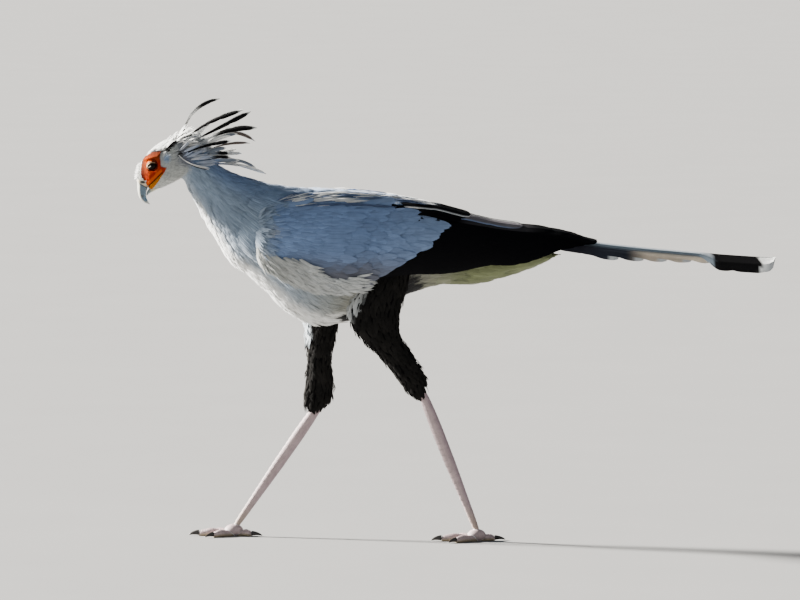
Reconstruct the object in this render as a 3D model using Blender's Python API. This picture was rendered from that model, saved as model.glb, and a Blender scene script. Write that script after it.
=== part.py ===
"""A secretary bird in mid stride, life size, as a still museum model.

The bird faces -X with its left side towards -Y, and stands with both soles on z = 0.
Everything is in metres. One row of sections runs from the tip of the hooked bill, over the head,
neck and back, to the end of the undertail coverts. Thin cuts across that row part bill, head, nape,
neck, torso and rump. Legs are rows of sections too. Flight, tail and crest feathers are flat,
tapered vanes that follow the surface they grow from and are fused to it at their roots.
"""

import math
from collections import namedtuple

import bmesh
import bpy
from mathutils import Matrix, Vector

GAP = 0.0003
HALF_GAP = GAP / 2
SIDES = {"left": -1, "right": 1}

# Cross sections of the body: the point on the back, the point on the belly, and half the width.
Section = namedtuple("Section", "name top low half_width")
SPINE = (
    Section("hook tip", (-0.5950, 0.6538), (-0.5960, 0.6560), 0.0011),
    Section("hook", (-0.6065, 0.6580), (-0.5995, 0.6620), 0.0032),
    Section("hook bend", (-0.6150, 0.6665), (-0.6025, 0.6695), 0.0052),
    Section("bill blade", (-0.6190, 0.6800), (-0.6022, 0.6790), 0.0074),
    Section("bill base", (-0.6198, 0.6960), (-0.5998, 0.6865), 0.0092),
    Section("cere", (-0.6195, 0.7120), (-0.5985, 0.6885), 0.0110),
    Section("forehead", (-0.6150, 0.7310), (-0.5960, 0.6860), 0.0160),
    Section("lores", (-0.6060, 0.7460), (-0.5925, 0.6835), 0.0225),
    Section("eyes", (-0.5940, 0.7610), (-0.5870, 0.6830), 0.0275),
    Section("behind eyes", (-0.5780, 0.7740), (-0.5800, 0.6840), 0.0315),
    Section("crown", (-0.5570, 0.7850), (-0.5700, 0.6870), 0.0345),
    Section("hind crown", (-0.5330, 0.7900), (-0.5610, 0.6910), 0.0360),
    Section("crest base", (-0.5120, 0.7800), (-0.5480, 0.6970), 0.0360),
    Section("nape", (-0.4900, 0.7600), (-0.5350, 0.7020), 0.0355),
    Section("upper neck", (-0.4700, 0.7410), (-0.5260, 0.6900), 0.0365),
    Section("middle neck", (-0.4440, 0.7240), (-0.5120, 0.6630), 0.0405),
    Section("lower neck", (-0.4100, 0.7110), (-0.4940, 0.6280), 0.0490),
    Section("neck base", (-0.3710, 0.7000), (-0.4730, 0.5920), 0.0600),
    Section("shoulders", (-0.3230, 0.6920), (-0.4480, 0.5510), 0.0740),
    Section("breast", (-0.2680, 0.6890), (-0.4140, 0.5200), 0.0860),
    Section("deep breast", (-0.2140, 0.6860), (-0.3790, 0.4870), 0.0930),
    Section("back", (-0.1630, 0.6810), (-0.3360, 0.4460), 0.0930),
    Section("belly", (-0.1180, 0.6740), (-0.2840, 0.4190), 0.0880),
    Section("loin", (-0.0770, 0.6640), (-0.2210, 0.4200), 0.0770),
    Section("hips", (-0.0380, 0.6510), (-0.1570, 0.4420), 0.0620),
    Section("vent", (-0.0010, 0.6380), (-0.0980, 0.4720), 0.0500),
    Section("rump", (0.0360, 0.6230), (-0.0380, 0.4920), 0.0410),
    Section("tail base", (0.0660, 0.6060), (0.0140, 0.4940), 0.0350),
    Section("tail root", (0.0860, 0.5860), (0.0560, 0.5010), 0.0330),
    Section("undertail", (0.1120, 0.5760), (0.0980, 0.5110), 0.0310),
    Section("undertail rear", (0.1520, 0.5700), (0.1460, 0.5270), 0.0255),
    Section("undertail end", (0.1900, 0.5630), (0.1880, 0.5460), 0.0150),
    Section("undertail tip", (0.2060, 0.5580), (0.2055, 0.5550), 0.0040),
)

# Where thin cuts part the body, as (node, first section, last section, rings, sides).
BODY_PARTS = (
    ("bill_upper", 0.0, 5.35, 13, 12),
    ("head", 5.35, 10.9, 14, 20),
    ("nape_crest", 10.9, 14.2, 7, 20),
    ("neck", 14.2, 17.2, 6, 22),
    ("torso", 17.2, 25.0, 13, 22),
    ("rump", 25.0, 32.0, 11, 18),
)

# The eyes, measured on the photograph's profile and set as deep as a raptor's.
EYE = Vector((-0.5895, 0.0172, 0.7320))
EYE_RADIUS = 0.0112
EYE_SEGMENTS = 14
SOCKET_GAP = 0.0004
FACING = math.radians(11)
LID_RADIUS = 0.0086
LID_THICKNESS = 0.0017
LID_FORWARD = 0.0080
LID_STEPS = 14
LID_SIDES = 5
BROW_SIZE = Vector((0.0150, 0.0055, 0.0045))
BROW_SEGMENTS = 8
BROW_RISE = 0.0105
BROW_OUT = 0.0066
BROW_TURN = math.radians(-28)
NOSTRIL = Vector((-0.6085, 0.0090, 0.6985))
NOSTRIL_SIZE = Vector((0.0048, 0.0030, 0.0011))
NOSTRIL_TURN = math.radians(10)
MOUTH_CORNER = Vector((-0.5760, 0, 0.7130))
MOUTH_FRONT = Vector((-0.5985, 0, 0.6880))
MOUTH_REACH = 1.2
MOUTH_WIDTH = 0.1
MOUTH_SLIT = 0.0007

LOWER_BILL = (
    Section("jaw root", (-0.5800, 0.7000), (-0.5730, 0.6890), 0.0100),
    Section("jaw", (-0.5915, 0.6900), (-0.5870, 0.6805), 0.0082),
    Section("jaw front", (-0.5970, 0.6850), (-0.5945, 0.6785), 0.0055),
    Section("jaw tip", (-0.5995, 0.6800), (-0.5990, 0.6782), 0.0020),
)
LOWER_BILL_RINGS = 6
LOWER_BILL_SIDES = 10

# The left thigh trails and the right one is under the body, each from its flank to its ankle.
HIP = 0.046
THIGH_RINGS = 11
THIGH_SIDES = 14
THIGHS = {
    "left": (
        Section("hip", (-0.1950, 0.5050), (-0.0780, 0.5480), 0.0280),
        Section("flank", (-0.2150, 0.4620), (-0.0890, 0.5040), 0.0370),
        Section("thigh", (-0.2060, 0.4200), (-0.1020, 0.4560), 0.0370),
        Section("low thigh", (-0.1780, 0.3840), (-0.1060, 0.4160), 0.0320),
        Section("shank", (-0.1550, 0.3620), (-0.0960, 0.3910), 0.0280),
        Section("mid shank", (-0.1340, 0.3360), (-0.0770, 0.3620), 0.0240),
        Section("low shank", (-0.1140, 0.3100), (-0.0600, 0.3320), 0.0210),
        Section("cuff", (-0.0950, 0.2870), (-0.0540, 0.3050), 0.0170),
        Section("cuff end", (-0.0800, 0.2760), (-0.0540, 0.2880), 0.0115),
    ),
    "right": (
        Section("hip", (-0.3000, 0.5200), (-0.1900, 0.5300), 0.0280),
        Section("flank", (-0.3110, 0.4700), (-0.2060, 0.4780), 0.0380),
        Section("thigh", (-0.2990, 0.4130), (-0.2250, 0.4130), 0.0360),
        Section("low thigh", (-0.2960, 0.3760), (-0.2330, 0.3800), 0.0320),
        Section("shank", (-0.2930, 0.3430), (-0.2390, 0.3410), 0.0280),
        Section("mid shank", (-0.2970, 0.3070), (-0.2350, 0.3070), 0.0240),
        Section("low shank", (-0.3000, 0.2780), (-0.2360, 0.2840), 0.0210),
        Section("cuff", (-0.2970, 0.2540), (-0.2430, 0.2640), 0.0170),
        Section("cuff end", (-0.2890, 0.2400), (-0.2530, 0.2530), 0.0115),
    ),
}
ANKLES = {"left": (-0.0610, 0.2810), "right": (-0.2690, 0.2540)}
FOOT_JOINTS = {"left": (0.0430, 0.0170), "right": (-0.4320, 0.0170)}
TARSUS_DEPTH = (0.0134, 0.0130, 0.0113, 0.0102, 0.0093, 0.0096)
TARSUS_WIDTH = (0.0112, 0.0099, 0.0081, 0.0074, 0.0071, 0.0084)
TARSUS_SIDES = 10
SCUTES = 11
SCUTE_RISE = 0.0007
SCUTES_FROM = 0.08
SCUTES_TO = 0.94
SCUTE_SHARE = 0.86
SCUTES_SPAN = 0.2
KNOB_END = 0.02
JOINT_START = 0.965
TARSUS_START = -0.045
TARSUS_BLUNT = 0.55

# A secretary bird's toes are short and stout for its size.
Toe = namedtuple("Toe", "name angle length radius claw")
TOES = (
    Toe("inner", 34, 0.046, 0.0078, 0.019),
    Toe("middle", -2, 0.066, 0.0086, 0.020),
    Toe("outer", -38, 0.050, 0.0078, 0.018),
    Toe("hind", 168, 0.030, 0.0076, 0.021),
)
PALM_SIZE = Vector((0.0185, 0.0150, 0.0125))
PALM_HEIGHT = 0.0115
PALM_BACK = -0.002
TOE_START = 0.004
SOLE_SINK = 0.18
TOE_RINGS = 8
TOE_SIDES = 8
TOE_PADS = 1.5
TOE_SWELL = 0.10
TOE_TAPER = 0.30
CLAW_RINGS = 6
CLAW_SIDES = 6
CLAW_BEND = math.radians(52)
CLAW_ROOT = 0.60
CLAW_TIP_HEIGHT = 0.0016
CLAW_CLEARANCE = 0.0005

# The folded wing: its upper edge, its lower edge and how far it bulges between them.
Station = namedtuple("Station", "name top low bulge")
WING = (
    Station("wrist", (-0.3930, 0.066, 0.6200), (-0.3980, 0.070, 0.5940), 0.006),
    Station("leading edge", (-0.3790, 0.062, 0.6500), (-0.3790, 0.078, 0.5500), 0.016),
    Station("shoulder", (-0.3440, 0.056, 0.6690), (-0.3420, 0.084, 0.5220), 0.027),
    Station("forearm", (-0.2900, 0.049, 0.6780), (-0.2840, 0.086, 0.4990), 0.034),
    Station("mid wing", (-0.2150, 0.043, 0.6810), (-0.2150, 0.085, 0.4910), 0.039),
    Station("elbow", (-0.1350, 0.027, 0.6735), (-0.1500, 0.079, 0.5070), 0.040),
    Station("rear coverts", (-0.0690, 0.015, 0.6610), (-0.0790, 0.066, 0.5200), 0.035),
    Station("tertials", (0.0000, 0.008, 0.6420), (-0.0100, 0.053, 0.5260), 0.027),
    Station("secondaries", (0.0620, 0.006, 0.6240), (0.0610, 0.045, 0.5430), 0.017),
    Station("long tertials", (0.1300, 0.006, 0.6090), (0.1300, 0.041, 0.5460), 0.010),
    Station("primaries", (0.2040, 0.006, 0.5965), (0.2040, 0.037, 0.5620), 0.005),
    Station("wing tip", (0.2760, 0.008, 0.5830), (0.2760, 0.026, 0.5700), 0.002),
)
WING_FULLNESS = 0.65
WING_STEP = 0.04
WING_CORE_END = 7.4
WING_CORE_DEPTH = 0.026
WING_CORE_RINGS = 11
WING_CORE_INSET = 0.006
WING_CORE_THIN = 0.7
OUTER_POINTS = 9
INNER_POINTS = 5
FLIGHT_REACH = (8.3, 10.0, 11.0, 10.9, 10.4, 9.9, 9.4, 8.9, 8.2, 7.4)
FLIGHT_ROOT = 5.0
ROWS_FROM = 0.05
ROWS_TO = 0.95
COVERT_REACH = (5.5, 6.9, 6.8, 6.5, 6.2, 5.8, 5.4, 5.0)
FLIGHT_HALF_WIDTH = 0.0135
FLIGHT_SINK = 0.006
COVERT_LENGTH = 1.6
COVERT_HALF_WIDTH = 0.0145
COVERT_SINK = 0.003
COVERT_LIFT = 0.0105
VANE_THICKNESS = 0.0007
TIP_THICKNESS = 0.0004
VANE_STEP = 0.0007
SHINGLE = math.radians(9)

# The tail: how far back each pair of feathers reaches, the central pair first.
TAIL_REACH = (0.620, 0.512, 0.462, 0.414, 0.368, 0.318)
TAIL_HALF_WIDTHS = (0.0215, 0.0135, 0.0130, 0.0130, 0.0130, 0.0130)
TAIL_ROOF = math.radians(38)
TAIL_START = 0.100
TAIL_TOP = (0.100, 0.604, 0.348, 0.573, 0.600, 0.5525)
TAIL_STEP = 0.0013
TAIL_SPREAD = 0.0022
TAIL_NARROW = 0.55
TAIL_WIDE_AT = 0.45
# Where stations are along a central feather, and its half width there: slender, then broad at its end.
CENTRAL_SHAPE = ((0.0, 0.6), (0.25, 0.8), (0.42, 0.45), (0.70, 0.42), (0.79, 0.97), (0.94, 1.0), (1.0, 0.4))
RIDGE_GAP = 0.0012
TAIL_CORE_RINGS = 7
TAIL_CORE_SIDES = 12
TAIL_CORE = (
    Section("core front", (0.0500, 0.6000), (0.0480, 0.5760), 0.0170),
    Section("core middle", (0.0950, 0.6010), (0.0900, 0.5800), 0.0190),
    Section("core rear", (0.1300, 0.5960), (0.1280, 0.5830), 0.0150),
    Section("core end", (0.1500, 0.5920), (0.1495, 0.5880), 0.0060),
)

# Crest plumes: root, a point half way, and tip as (x, z), with y at root and tip, and half the width.
Plume = namedtuple("Plume", "root middle tip root_y tip_y half_width")
CREST = (
    Plume((-0.522, 0.770), (-0.514, 0.834), (-0.461, 0.863), 0.004, 0.010, 0.0024),
    Plume((-0.506, 0.766), (-0.478, 0.829), (-0.414, 0.841), -0.004, -0.012, 0.0062),
    Plume((-0.502, 0.764), (-0.462, 0.811), (-0.401, 0.837), 0.008, 0.022, 0.0066),
    Plume((-0.499, 0.760), (-0.452, 0.803), (-0.389, 0.810), -0.009, -0.024, 0.0072),
    Plume((-0.498, 0.757), (-0.445, 0.798), (-0.391, 0.777), 0.012, 0.030, 0.0058),
    Plume((-0.496, 0.752), (-0.467, 0.778), (-0.440, 0.784), -0.013, -0.030, 0.0060),
    Plume((-0.494, 0.748), (-0.457, 0.772), (-0.418, 0.777), 0.014, 0.036, 0.0054),
    Plume((-0.494, 0.742), (-0.467, 0.760), (-0.440, 0.758), -0.015, -0.036, 0.0056),
    Plume((-0.490, 0.738), (-0.453, 0.750), (-0.418, 0.755), 0.015, 0.034, 0.0058),
    Plume((-0.488, 0.732), (-0.436, 0.747), (-0.391, 0.722), -0.012, -0.028, 0.0064),
    Plume((-0.486, 0.730), (-0.434, 0.738), (-0.380, 0.719), 0.010, 0.020, 0.0064),
    Plume((-0.508, 0.760), (-0.484, 0.806), (-0.434, 0.823), 0.002, 0.000, 0.0058),
    Plume((-0.516, 0.738), (-0.507, 0.722), (-0.470, 0.721), -0.026, -0.048, 0.0050),
    Plume((-0.516, 0.738), (-0.507, 0.722), (-0.470, 0.721), 0.026, 0.048, 0.0050),
)
PLUME_TURN = math.radians(35)
PLUME_THICKNESS = 0.0009

# Half the width of a feather along its length, as a share of its widest.
FLIGHT_SHAPE = (0.6, 1.0, 1.0, 0.85, 0.28)
PLUME_SHAPE = (0.32, 0.55, 0.90, 1.0, 0.85, 0.25)

COLOURS = {
    "plumage": ((0.36, 0.42, 0.48), 0.8),
    "black": ((0.012, 0.012, 0.014), 0.7),
    "bill": ((0.25, 0.34, 0.40), 0.35),
    "skin": ((0.16, 0.21, 0.26), 0.5),
    "eye": ((0.010, 0.006, 0.004), 0.05),
    "leg": ((0.50, 0.40, 0.38), 0.5),
    "claw": ((0.04, 0.035, 0.03), 0.35),
}


def clear_scene():
    for old in list(bpy.data.objects):
        bpy.data.objects.remove(old)


def material(name):
    """The named finish, made the first time that it is asked for."""
    found = bpy.data.materials.get(name)
    if found:
        return found
    colour, roughness = COLOURS[name]
    found = bpy.data.materials.new(name)
    found.use_nodes = True
    shader = found.node_tree.nodes["Principled BSDF"]
    shader.inputs["Base Color"].default_value = (*colour, 1)
    shader.inputs["Roughness"].default_value = roughness
    shader.inputs["Metallic"].default_value = 0
    return found


def make_object(name, form):
    """Turns a bmesh into an object of outward triangles in the bird's collection."""
    bmesh.ops.triangulate(form, faces=form.faces)
    bmesh.ops.recalc_face_normals(form, faces=form.faces)
    mesh = bpy.data.meshes.new(name)
    form.to_mesh(mesh)
    form.free()
    made = bpy.data.objects.new(name, mesh)
    bird.objects.link(made)
    return made


def finish(made, finish_name):
    """Gives a node its material and its name, shaded smooth between sharp edges."""
    made.data.materials.clear()
    made.data.materials.append(material(finish_name))
    made.data.shade_smooth()
    made.data.set_sharp_from_angle(angle=math.radians(35))
    made.data.name = made.name
    return made


def catmull_rom(values, place):
    """A smooth value through the listed ones, at a place counted in steps of the list."""
    last = len(values) - 1
    step = min(int(place), last - 1)
    part = place - step
    before, here, there, after = (values[min(max(step + k, 0), last)] for k in (-1, 0, 1, 2))
    bend = 2 * before - 5 * here + 4 * there - after
    twist = 3 * here - before - 3 * there + after
    return 0.5 * (2 * here + (there - before) * part + bend * part**2 + twist * part**3)


def smooth_point(points, place):
    """A smooth point through a list of points of any size."""
    return tuple(catmull_rom(axis, place) for axis in zip(*points))


def section_ring(sections, place, sides, centre_y=0.0, shift=0.0):
    """A ring of points on the section at a place, moved along the row by a small shift."""
    top = Vector(smooth_point([s.top for s in sections], place))
    low = Vector(smooth_point([s.low for s in sections], place))
    half_width = catmull_rom([s.half_width for s in sections], place)
    ahead = min(place + 0.05, len(sections) - 1)
    behind = max(place - 0.05, 0)
    along = middle_of(sections, ahead) - middle_of(sections, behind)
    upward = (top - low) / 2
    across = Vector((upward.y, -upward.x)).normalized()
    if across.dot(along) < 0:
        across = -across
    middle = (top + low) / 2 + across * shift
    ring = []
    for k in range(sides):
        turn = 2 * math.pi * k / sides
        flat = middle + upward * math.cos(turn)
        ring.append(Vector((flat.x, centre_y + half_width * math.sin(turn), flat.y)))
    return ring


def middle_of(sections, place):
    top = Vector(smooth_point([s.top for s in sections], place))
    low = Vector(smooth_point([s.low for s in sections], place))
    return (top + low) / 2


def loft(name, rings):
    """A closed solid through rings of equal size, with a flat cap at each end."""
    form = bmesh.new()
    rows = [[form.verts.new(point) for point in ring] for ring in rings]
    count = len(rings[0])
    for near, far in zip(rows, rows[1:]):
        for k in range(count):
            after = (k + 1) % count
            form.faces.new((near[k], near[after], far[after], far[k]))
    form.faces.new(rows[0][::-1])
    form.faces.new(rows[-1])
    return make_object(name, form)


def section_loft(name, sections, first, last, rings, sides, centre_y=0.0, shifts=(0.0, 0.0)):
    """A loft along part of a row of sections. The shifts pull its two ends in for a thin cut."""
    made = []
    for k in range(rings):
        place = first + (last - first) * k / (rings - 1)
        shift = shifts[0] if k == 0 else shifts[1] if k == rings - 1 else 0.0
        made.append(section_ring(sections, place, sides, centre_y, shift))
    return loft(name, made)


def ellipsoid(name, centre, size, turn=0.0, segments=12):
    """A closed egg shape with its half sizes along X, Y and Z, turned about Y."""
    form = bmesh.new()
    bmesh.ops.create_uvsphere(form, u_segments=segments, v_segments=segments // 2 + 1, radius=1)
    place = Matrix.Translation(centre) @ Matrix.Rotation(turn, 4, "Y")
    bmesh.ops.transform(form, matrix=place @ Matrix.Diagonal((*size, 1)), verts=form.verts)
    return make_object(name, form)


def box(name, centre, size, turn):
    """A closed block turned about Y."""
    form = bmesh.new()
    bmesh.ops.create_cube(form, size=1)
    place = Matrix.Translation(centre) @ Matrix.Rotation(turn, 4, "Y")
    bmesh.ops.transform(form, matrix=place @ Matrix.Diagonal((*size, 1)), verts=form.verts)
    return make_object(name, form)


def grown(made, distance=GAP):
    """A copy of an object with its surface pushed out by a small distance, for cutting its neighbour."""
    form = bmesh.new()
    form.from_mesh(made.data)
    form.normal_update()
    for vert in form.verts:
        vert.co += vert.normal * distance
    copy = make_object(made.name + "_clearance", form)
    return copy


def combine(made, others, operation):
    """Joins or cuts a closed object by others with one Boolean, applies it and removes the others."""
    tools = bpy.data.collections.new(made.name + "_tools")
    bpy.context.scene.collection.children.link(tools)
    for other in others:
        bird.objects.unlink(other)
        tools.objects.link(other)
    modifier = made.modifiers.new(operation.title(), "BOOLEAN")
    modifier.operation = operation
    modifier.operand_type = "COLLECTION"
    modifier.collection = tools
    modifier.solver = "MANIFOLD"
    bpy.context.view_layer.update()
    graph = bpy.context.evaluated_depsgraph_get()
    mesh = bpy.data.meshes.new_from_object(made.evaluated_get(graph))
    made.modifiers.clear()
    made.data = mesh
    for other in others:
        bpy.data.objects.remove(other)
    bpy.data.collections.remove(tools)
    keep_largest(made)
    return made


def islands(form):
    """The separate surfaces of a bmesh, each as a list of faces."""
    left = set(form.faces)
    found = []
    while left:
        wave = [left.pop()]
        island = list(wave)
        while wave:
            face = wave.pop()
            for edge in face.edges:
                for other in edge.link_faces:
                    if other in left:
                        left.remove(other)
                        wave.append(other)
                        island.append(other)
        found.append(island)
    return found


def keep_largest(made):
    """Drops loose scraps and sealed hollows that a Boolean leaves."""
    form = bmesh.new()
    form.from_mesh(made.data)
    found = islands(form)
    if len(found) > 1:
        largest = max(found, key=lambda island: sum(face.calc_area() for face in island))
        kept = set(largest)
        scraps = [face for face in form.faces if face not in kept]
        bmesh.ops.delete(form, geom=scraps, context="FACES")
    bmesh.ops.triangulate(form, faces=form.faces)
    form.to_mesh(made.data)
    form.free()


def vane(name, centres, acrosses, normals, half_widths, thickness=VANE_THICKNESS):
    """A flat tapered feather of four corners round, split into triangles alike on both faces."""
    form = bmesh.new()
    rows = []
    last = len(centres) - 1
    for k, (centre, across, normal) in enumerate(zip(centres, acrosses, normals)):
        side = across * half_widths[k]
        lift = normal * ((TIP_THICKNESS if k == last else thickness) / 2)
        corners = (centre - side + lift, centre + side + lift, centre + side - lift, centre - side - lift)
        rows.append([form.verts.new(corner) for corner in corners])
    for near, far in zip(rows, rows[1:]):
        a, b, c, d = near
        e, f, g, h = far
        outer_and_inner = ((a, b, f), (a, f, e), (d, g, c), (d, h, g))
        edges = ((b, c, g), (b, g, f), (a, h, d), (a, e, h))
        for corners in outer_and_inner + edges:
            form.faces.new(corners)
    form.faces.new(rows[0])
    form.faces.new(rows[-1][::-1])
    return make_object(name, form)


def make_body():
    """The bill, head, nape, neck, torso and rump, lofted along one row and parted by thin cuts."""
    nodes = {}
    for name, first, last, rings, sides in BODY_PARTS:
        shifts = (HALF_GAP if first > 0 else 0.0, -HALF_GAP if last < len(SPINE) - 1 else 0.0)
        nodes[name] = section_loft(name, SPINE, first, last, rings, sides, shifts=shifts)
    return nodes


def lid_ring(name, side):
    """The rim of both lids round one eye."""
    form = bmesh.new()
    facing = Vector((-math.sin(FACING), side * math.cos(FACING), 0))
    level = Vector((math.cos(FACING), side * math.sin(FACING), 0))
    middle = Vector((EYE.x, side * EYE.y, EYE.z)) + facing * LID_FORWARD
    rows = []
    for k in range(LID_STEPS):
        turn = 2 * math.pi * k / LID_STEPS
        radial = level * math.cos(turn) + Vector((0, 0, math.sin(turn)))
        rim = middle + radial * LID_RADIUS
        row = []
        for m in range(LID_SIDES):
            roll = 2 * math.pi * m / LID_SIDES
            offset = radial * math.cos(roll) + facing * math.sin(roll)
            row.append(form.verts.new(rim + offset * LID_THICKNESS))
        rows.append(row)
    for k in range(LID_STEPS):
        near, far = rows[k], rows[(k + 1) % LID_STEPS]
        for m in range(LID_SIDES):
            after = (m + 1) % LID_SIDES
            form.faces.new((near[m], near[after], far[after], far[m]))
    return make_object(name, form)


def finish_head(nodes):
    """Adds brows and lids, hollows the eye sockets and the mouth line, and cuts the nostrils."""
    ridges = []
    sockets = []
    nostrils = []
    for name, side in SIDES.items():
        eye = Vector((EYE.x, side * EYE.y, EYE.z))
        brow = eye + Vector((0, side * BROW_OUT, BROW_RISE))
        ridges.append(ellipsoid("brow_" + name, brow, BROW_SIZE, BROW_TURN, BROW_SEGMENTS))
        ridges.append(lid_ring("lids_" + name, side))
        ball = Vector((EYE_RADIUS, EYE_RADIUS, EYE_RADIUS))
        nodes["eye_" + name] = ellipsoid("eye_" + name, eye, ball, segments=EYE_SEGMENTS)
        sockets.append(grown(nodes["eye_" + name], SOCKET_GAP))
        slot = Vector((NOSTRIL.x, side * NOSTRIL.y, NOSTRIL.z))
        nostrils.append(ellipsoid("nostril_" + name, slot, NOSTRIL_SIZE, NOSTRIL_TURN, BROW_SEGMENTS))
    combine(nodes["head"], ridges, "UNION")
    line = MOUTH_CORNER - MOUTH_FRONT
    slit = box(
        "mouth_slit",
        (MOUTH_CORNER + MOUTH_FRONT) / 2,
        Vector((line.length * MOUTH_REACH, MOUTH_WIDTH, MOUTH_SLIT)),
        -math.atan2(line.z, line.x),
    )
    combine(nodes["head"], sockets + [slit], "DIFFERENCE")
    combine(nodes["bill_upper"], nostrils, "DIFFERENCE")
    last = len(LOWER_BILL) - 1
    lower = section_loft("bill_lower", LOWER_BILL, 0, last, LOWER_BILL_RINGS, LOWER_BILL_SIDES)
    nodes["bill_lower"] = combine(lower, [grown(nodes["head"]), grown(nodes["bill_upper"])], "DIFFERENCE")


def make_crest(nodes):
    """Plumes that fan up and back from the nape, each turned a little so that its face shows."""
    plumes = []
    for k, plume in enumerate(CREST):
        root = Vector((plume.root[0], plume.root_y, plume.root[1]))
        tip = Vector((plume.tip[0], plume.tip_y, plume.tip[1]))
        middle = Vector((plume.middle[0], (plume.root_y + plume.tip_y) / 2, plume.middle[1]))
        pull = 2 * middle - (root + tip) / 2
        count = len(PLUME_SHAPE)
        centres, acrosses, normals = [], [], []
        for step in range(count):
            part = step / (count - 1)
            centres.append(root * (1 - part) ** 2 + pull * 2 * part * (1 - part) + tip * part**2)
            along = ((pull - root) * (1 - part) + (tip - pull) * part).normalized()
            level = Vector((0, 1, 0))
            face = along.cross(level).normalized()
            turned = face * math.cos(PLUME_TURN) + level * math.sin(PLUME_TURN) * (1 if k % 2 else -1)
            across = (turned - along * turned.dot(along)).normalized()
            acrosses.append(across)
            normals.append(along.cross(across).normalized())
        widths = [share * plume.half_width for share in PLUME_SHAPE]
        plumes.append(vane(f"plume_{k}", centres, acrosses, normals, widths, PLUME_THICKNESS))
    combine(nodes["nape_crest"], plumes, "UNION")
    combine(nodes["nape_crest"], [grown(nodes["neck"])], "DIFFERENCE")


def tail_top(x):
    """The height of the tail's ridge, a gentle curve through three points."""
    x0, z0, x1, z1, x2, z2 = TAIL_TOP
    slope = (z1 - z0) / (x1 - x0)
    bend = ((z2 - z1) / (x2 - x1) - slope) / (x2 - x0)
    return z0 + slope * (x - x0) + bend * (x - x0) * (x - x1)


def make_tail(nodes):
    """Twelve tail feathers in six pairs, laid as a low roof under the long central pair."""
    feathers = []
    for name, side in SIDES.items():
        across = Vector((0, side * math.cos(TAIL_ROOF), -math.sin(TAIL_ROOF)))
        normal = Vector((0, side * math.sin(TAIL_ROOF), math.cos(TAIL_ROOF)))
        for pair, reach in enumerate(TAIL_REACH):
            count = len(FLIGHT_SHAPE)
            shape = [(k / (count - 1), share) for k, share in enumerate(FLIGHT_SHAPE)]
            if pair == 0:
                shape = CENTRAL_SHAPE
            count = len(shape)
            centres, widths = [], []
            for part, share in shape:
                x = TAIL_START + (reach - TAIL_START) * part
                grow = min(1, part / TAIL_WIDE_AT)
                half_width = TAIL_HALF_WIDTHS[pair] * share * (TAIL_NARROW + (1 - TAIL_NARROW) * grow)
                out = half_width + TAIL_SPREAD * pair * (0.4 + part)
                ridge = Vector((x, side * RIDGE_GAP, tail_top(x)))
                centres.append(ridge + across * out - normal * (TAIL_STEP * pair))
                widths.append(half_width)
            steady = [across] * count
            feathers.append(vane(f"tail_{name}_{pair}", centres, steady, [normal] * count, widths))
    core = section_loft("tail", TAIL_CORE, 0, len(TAIL_CORE) - 1, TAIL_CORE_RINGS, TAIL_CORE_SIDES)
    combine(core, feathers, "UNION")
    nodes["tail"] = combine(core, [grown(nodes["rump"])], "DIFFERENCE")


def wing_point(place, down, side):
    """A point on the folded wing's outer face: a place along it, and how far down from edge to edge."""
    top = Vector(smooth_point([s.top for s in WING], place))
    low = Vector(smooth_point([s.low for s in WING], place))
    bulge = catmull_rom([s.bulge for s in WING], place)
    point = top.lerp(low, down)
    point.y += bulge * max(0.0, math.sin(math.pi * down)) ** WING_FULLNESS
    return Vector((point.x, side * point.y, point.z))


def wing_normal(place, down, side):
    """The outward direction of the wing's face there, from points a small step away."""
    small = WING_STEP
    here = min(max(place, small), len(WING) - 1 - small)
    level = min(max(down, small), 1 - small)
    along = wing_point(here + small, level, side) - wing_point(here - small, level, side)
    fall = wing_point(here, level + small, side) - wing_point(here, level - small, side)
    normal = along.cross(fall).normalized()
    return normal if normal.y * side > 0 else -normal


def wing_core(name, side):
    """The arm and its small coverts as one shell, thick in front and thin where the feathers start."""
    rings = []
    for k in range(WING_CORE_RINGS):
        place = WING_CORE_END * k / (WING_CORE_RINGS - 1)
        thin = min(1.0, max(0.0, (place - FLIGHT_ROOT) / (WING_CORE_END - FLIGHT_ROOT)))
        ring = []
        for m in range(OUTER_POINTS):
            down = m / (OUTER_POINTS - 1)
            inset = WING_CORE_INSET * thin * math.sin(math.pi * down)
            ring.append(wing_point(place, down, side) - wing_normal(place, down, side) * inset)
        depth = WING_CORE_DEPTH * (1 - WING_CORE_THIN * thin)
        for m in range(INNER_POINTS):
            down = 1 - (m + 0.5) / INNER_POINTS
            ring.append(wing_point(place, down, side) - wing_normal(place, down, side) * depth)
        for point in ring:
            point.y = side * max(side * point.y, GAP * 2)
        rings.append(ring)
    return loft(name, rings)


def wing_vane(name, side, root, tip, half_width, lifts):
    """A feather laid on the wing from a root to a tip, both given as (place, down)."""
    centres, acrosses, normals, widths = [], [], [], []
    count = len(FLIGHT_SHAPE)
    for k in range(count):
        part = k / (count - 1)
        place = root[0] + (tip[0] - root[0]) * part
        down = root[1] + (tip[1] - root[1]) * part
        outward = wing_normal(place, down, side)
        centres.append(wing_point(place, down, side) + outward * (lifts[0] + (lifts[1] - lifts[0]) * part))
        normals.append(outward)
        widths.append(half_width * FLIGHT_SHAPE[k])
    for k in range(count):
        along = (centres[min(k + 1, count - 1)] - centres[max(k - 1, 0)]).normalized()
        fall = along.cross(normals[k]).normalized()
        if fall.z > 0:
            fall = -fall
        across = (fall * math.cos(SHINGLE) + normals[k] * math.sin(SHINGLE)).normalized()
        acrosses.append(across)
        normals[k] = along.cross(across).normalized()
    return vane(name, centres, acrosses, normals, widths)


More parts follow.
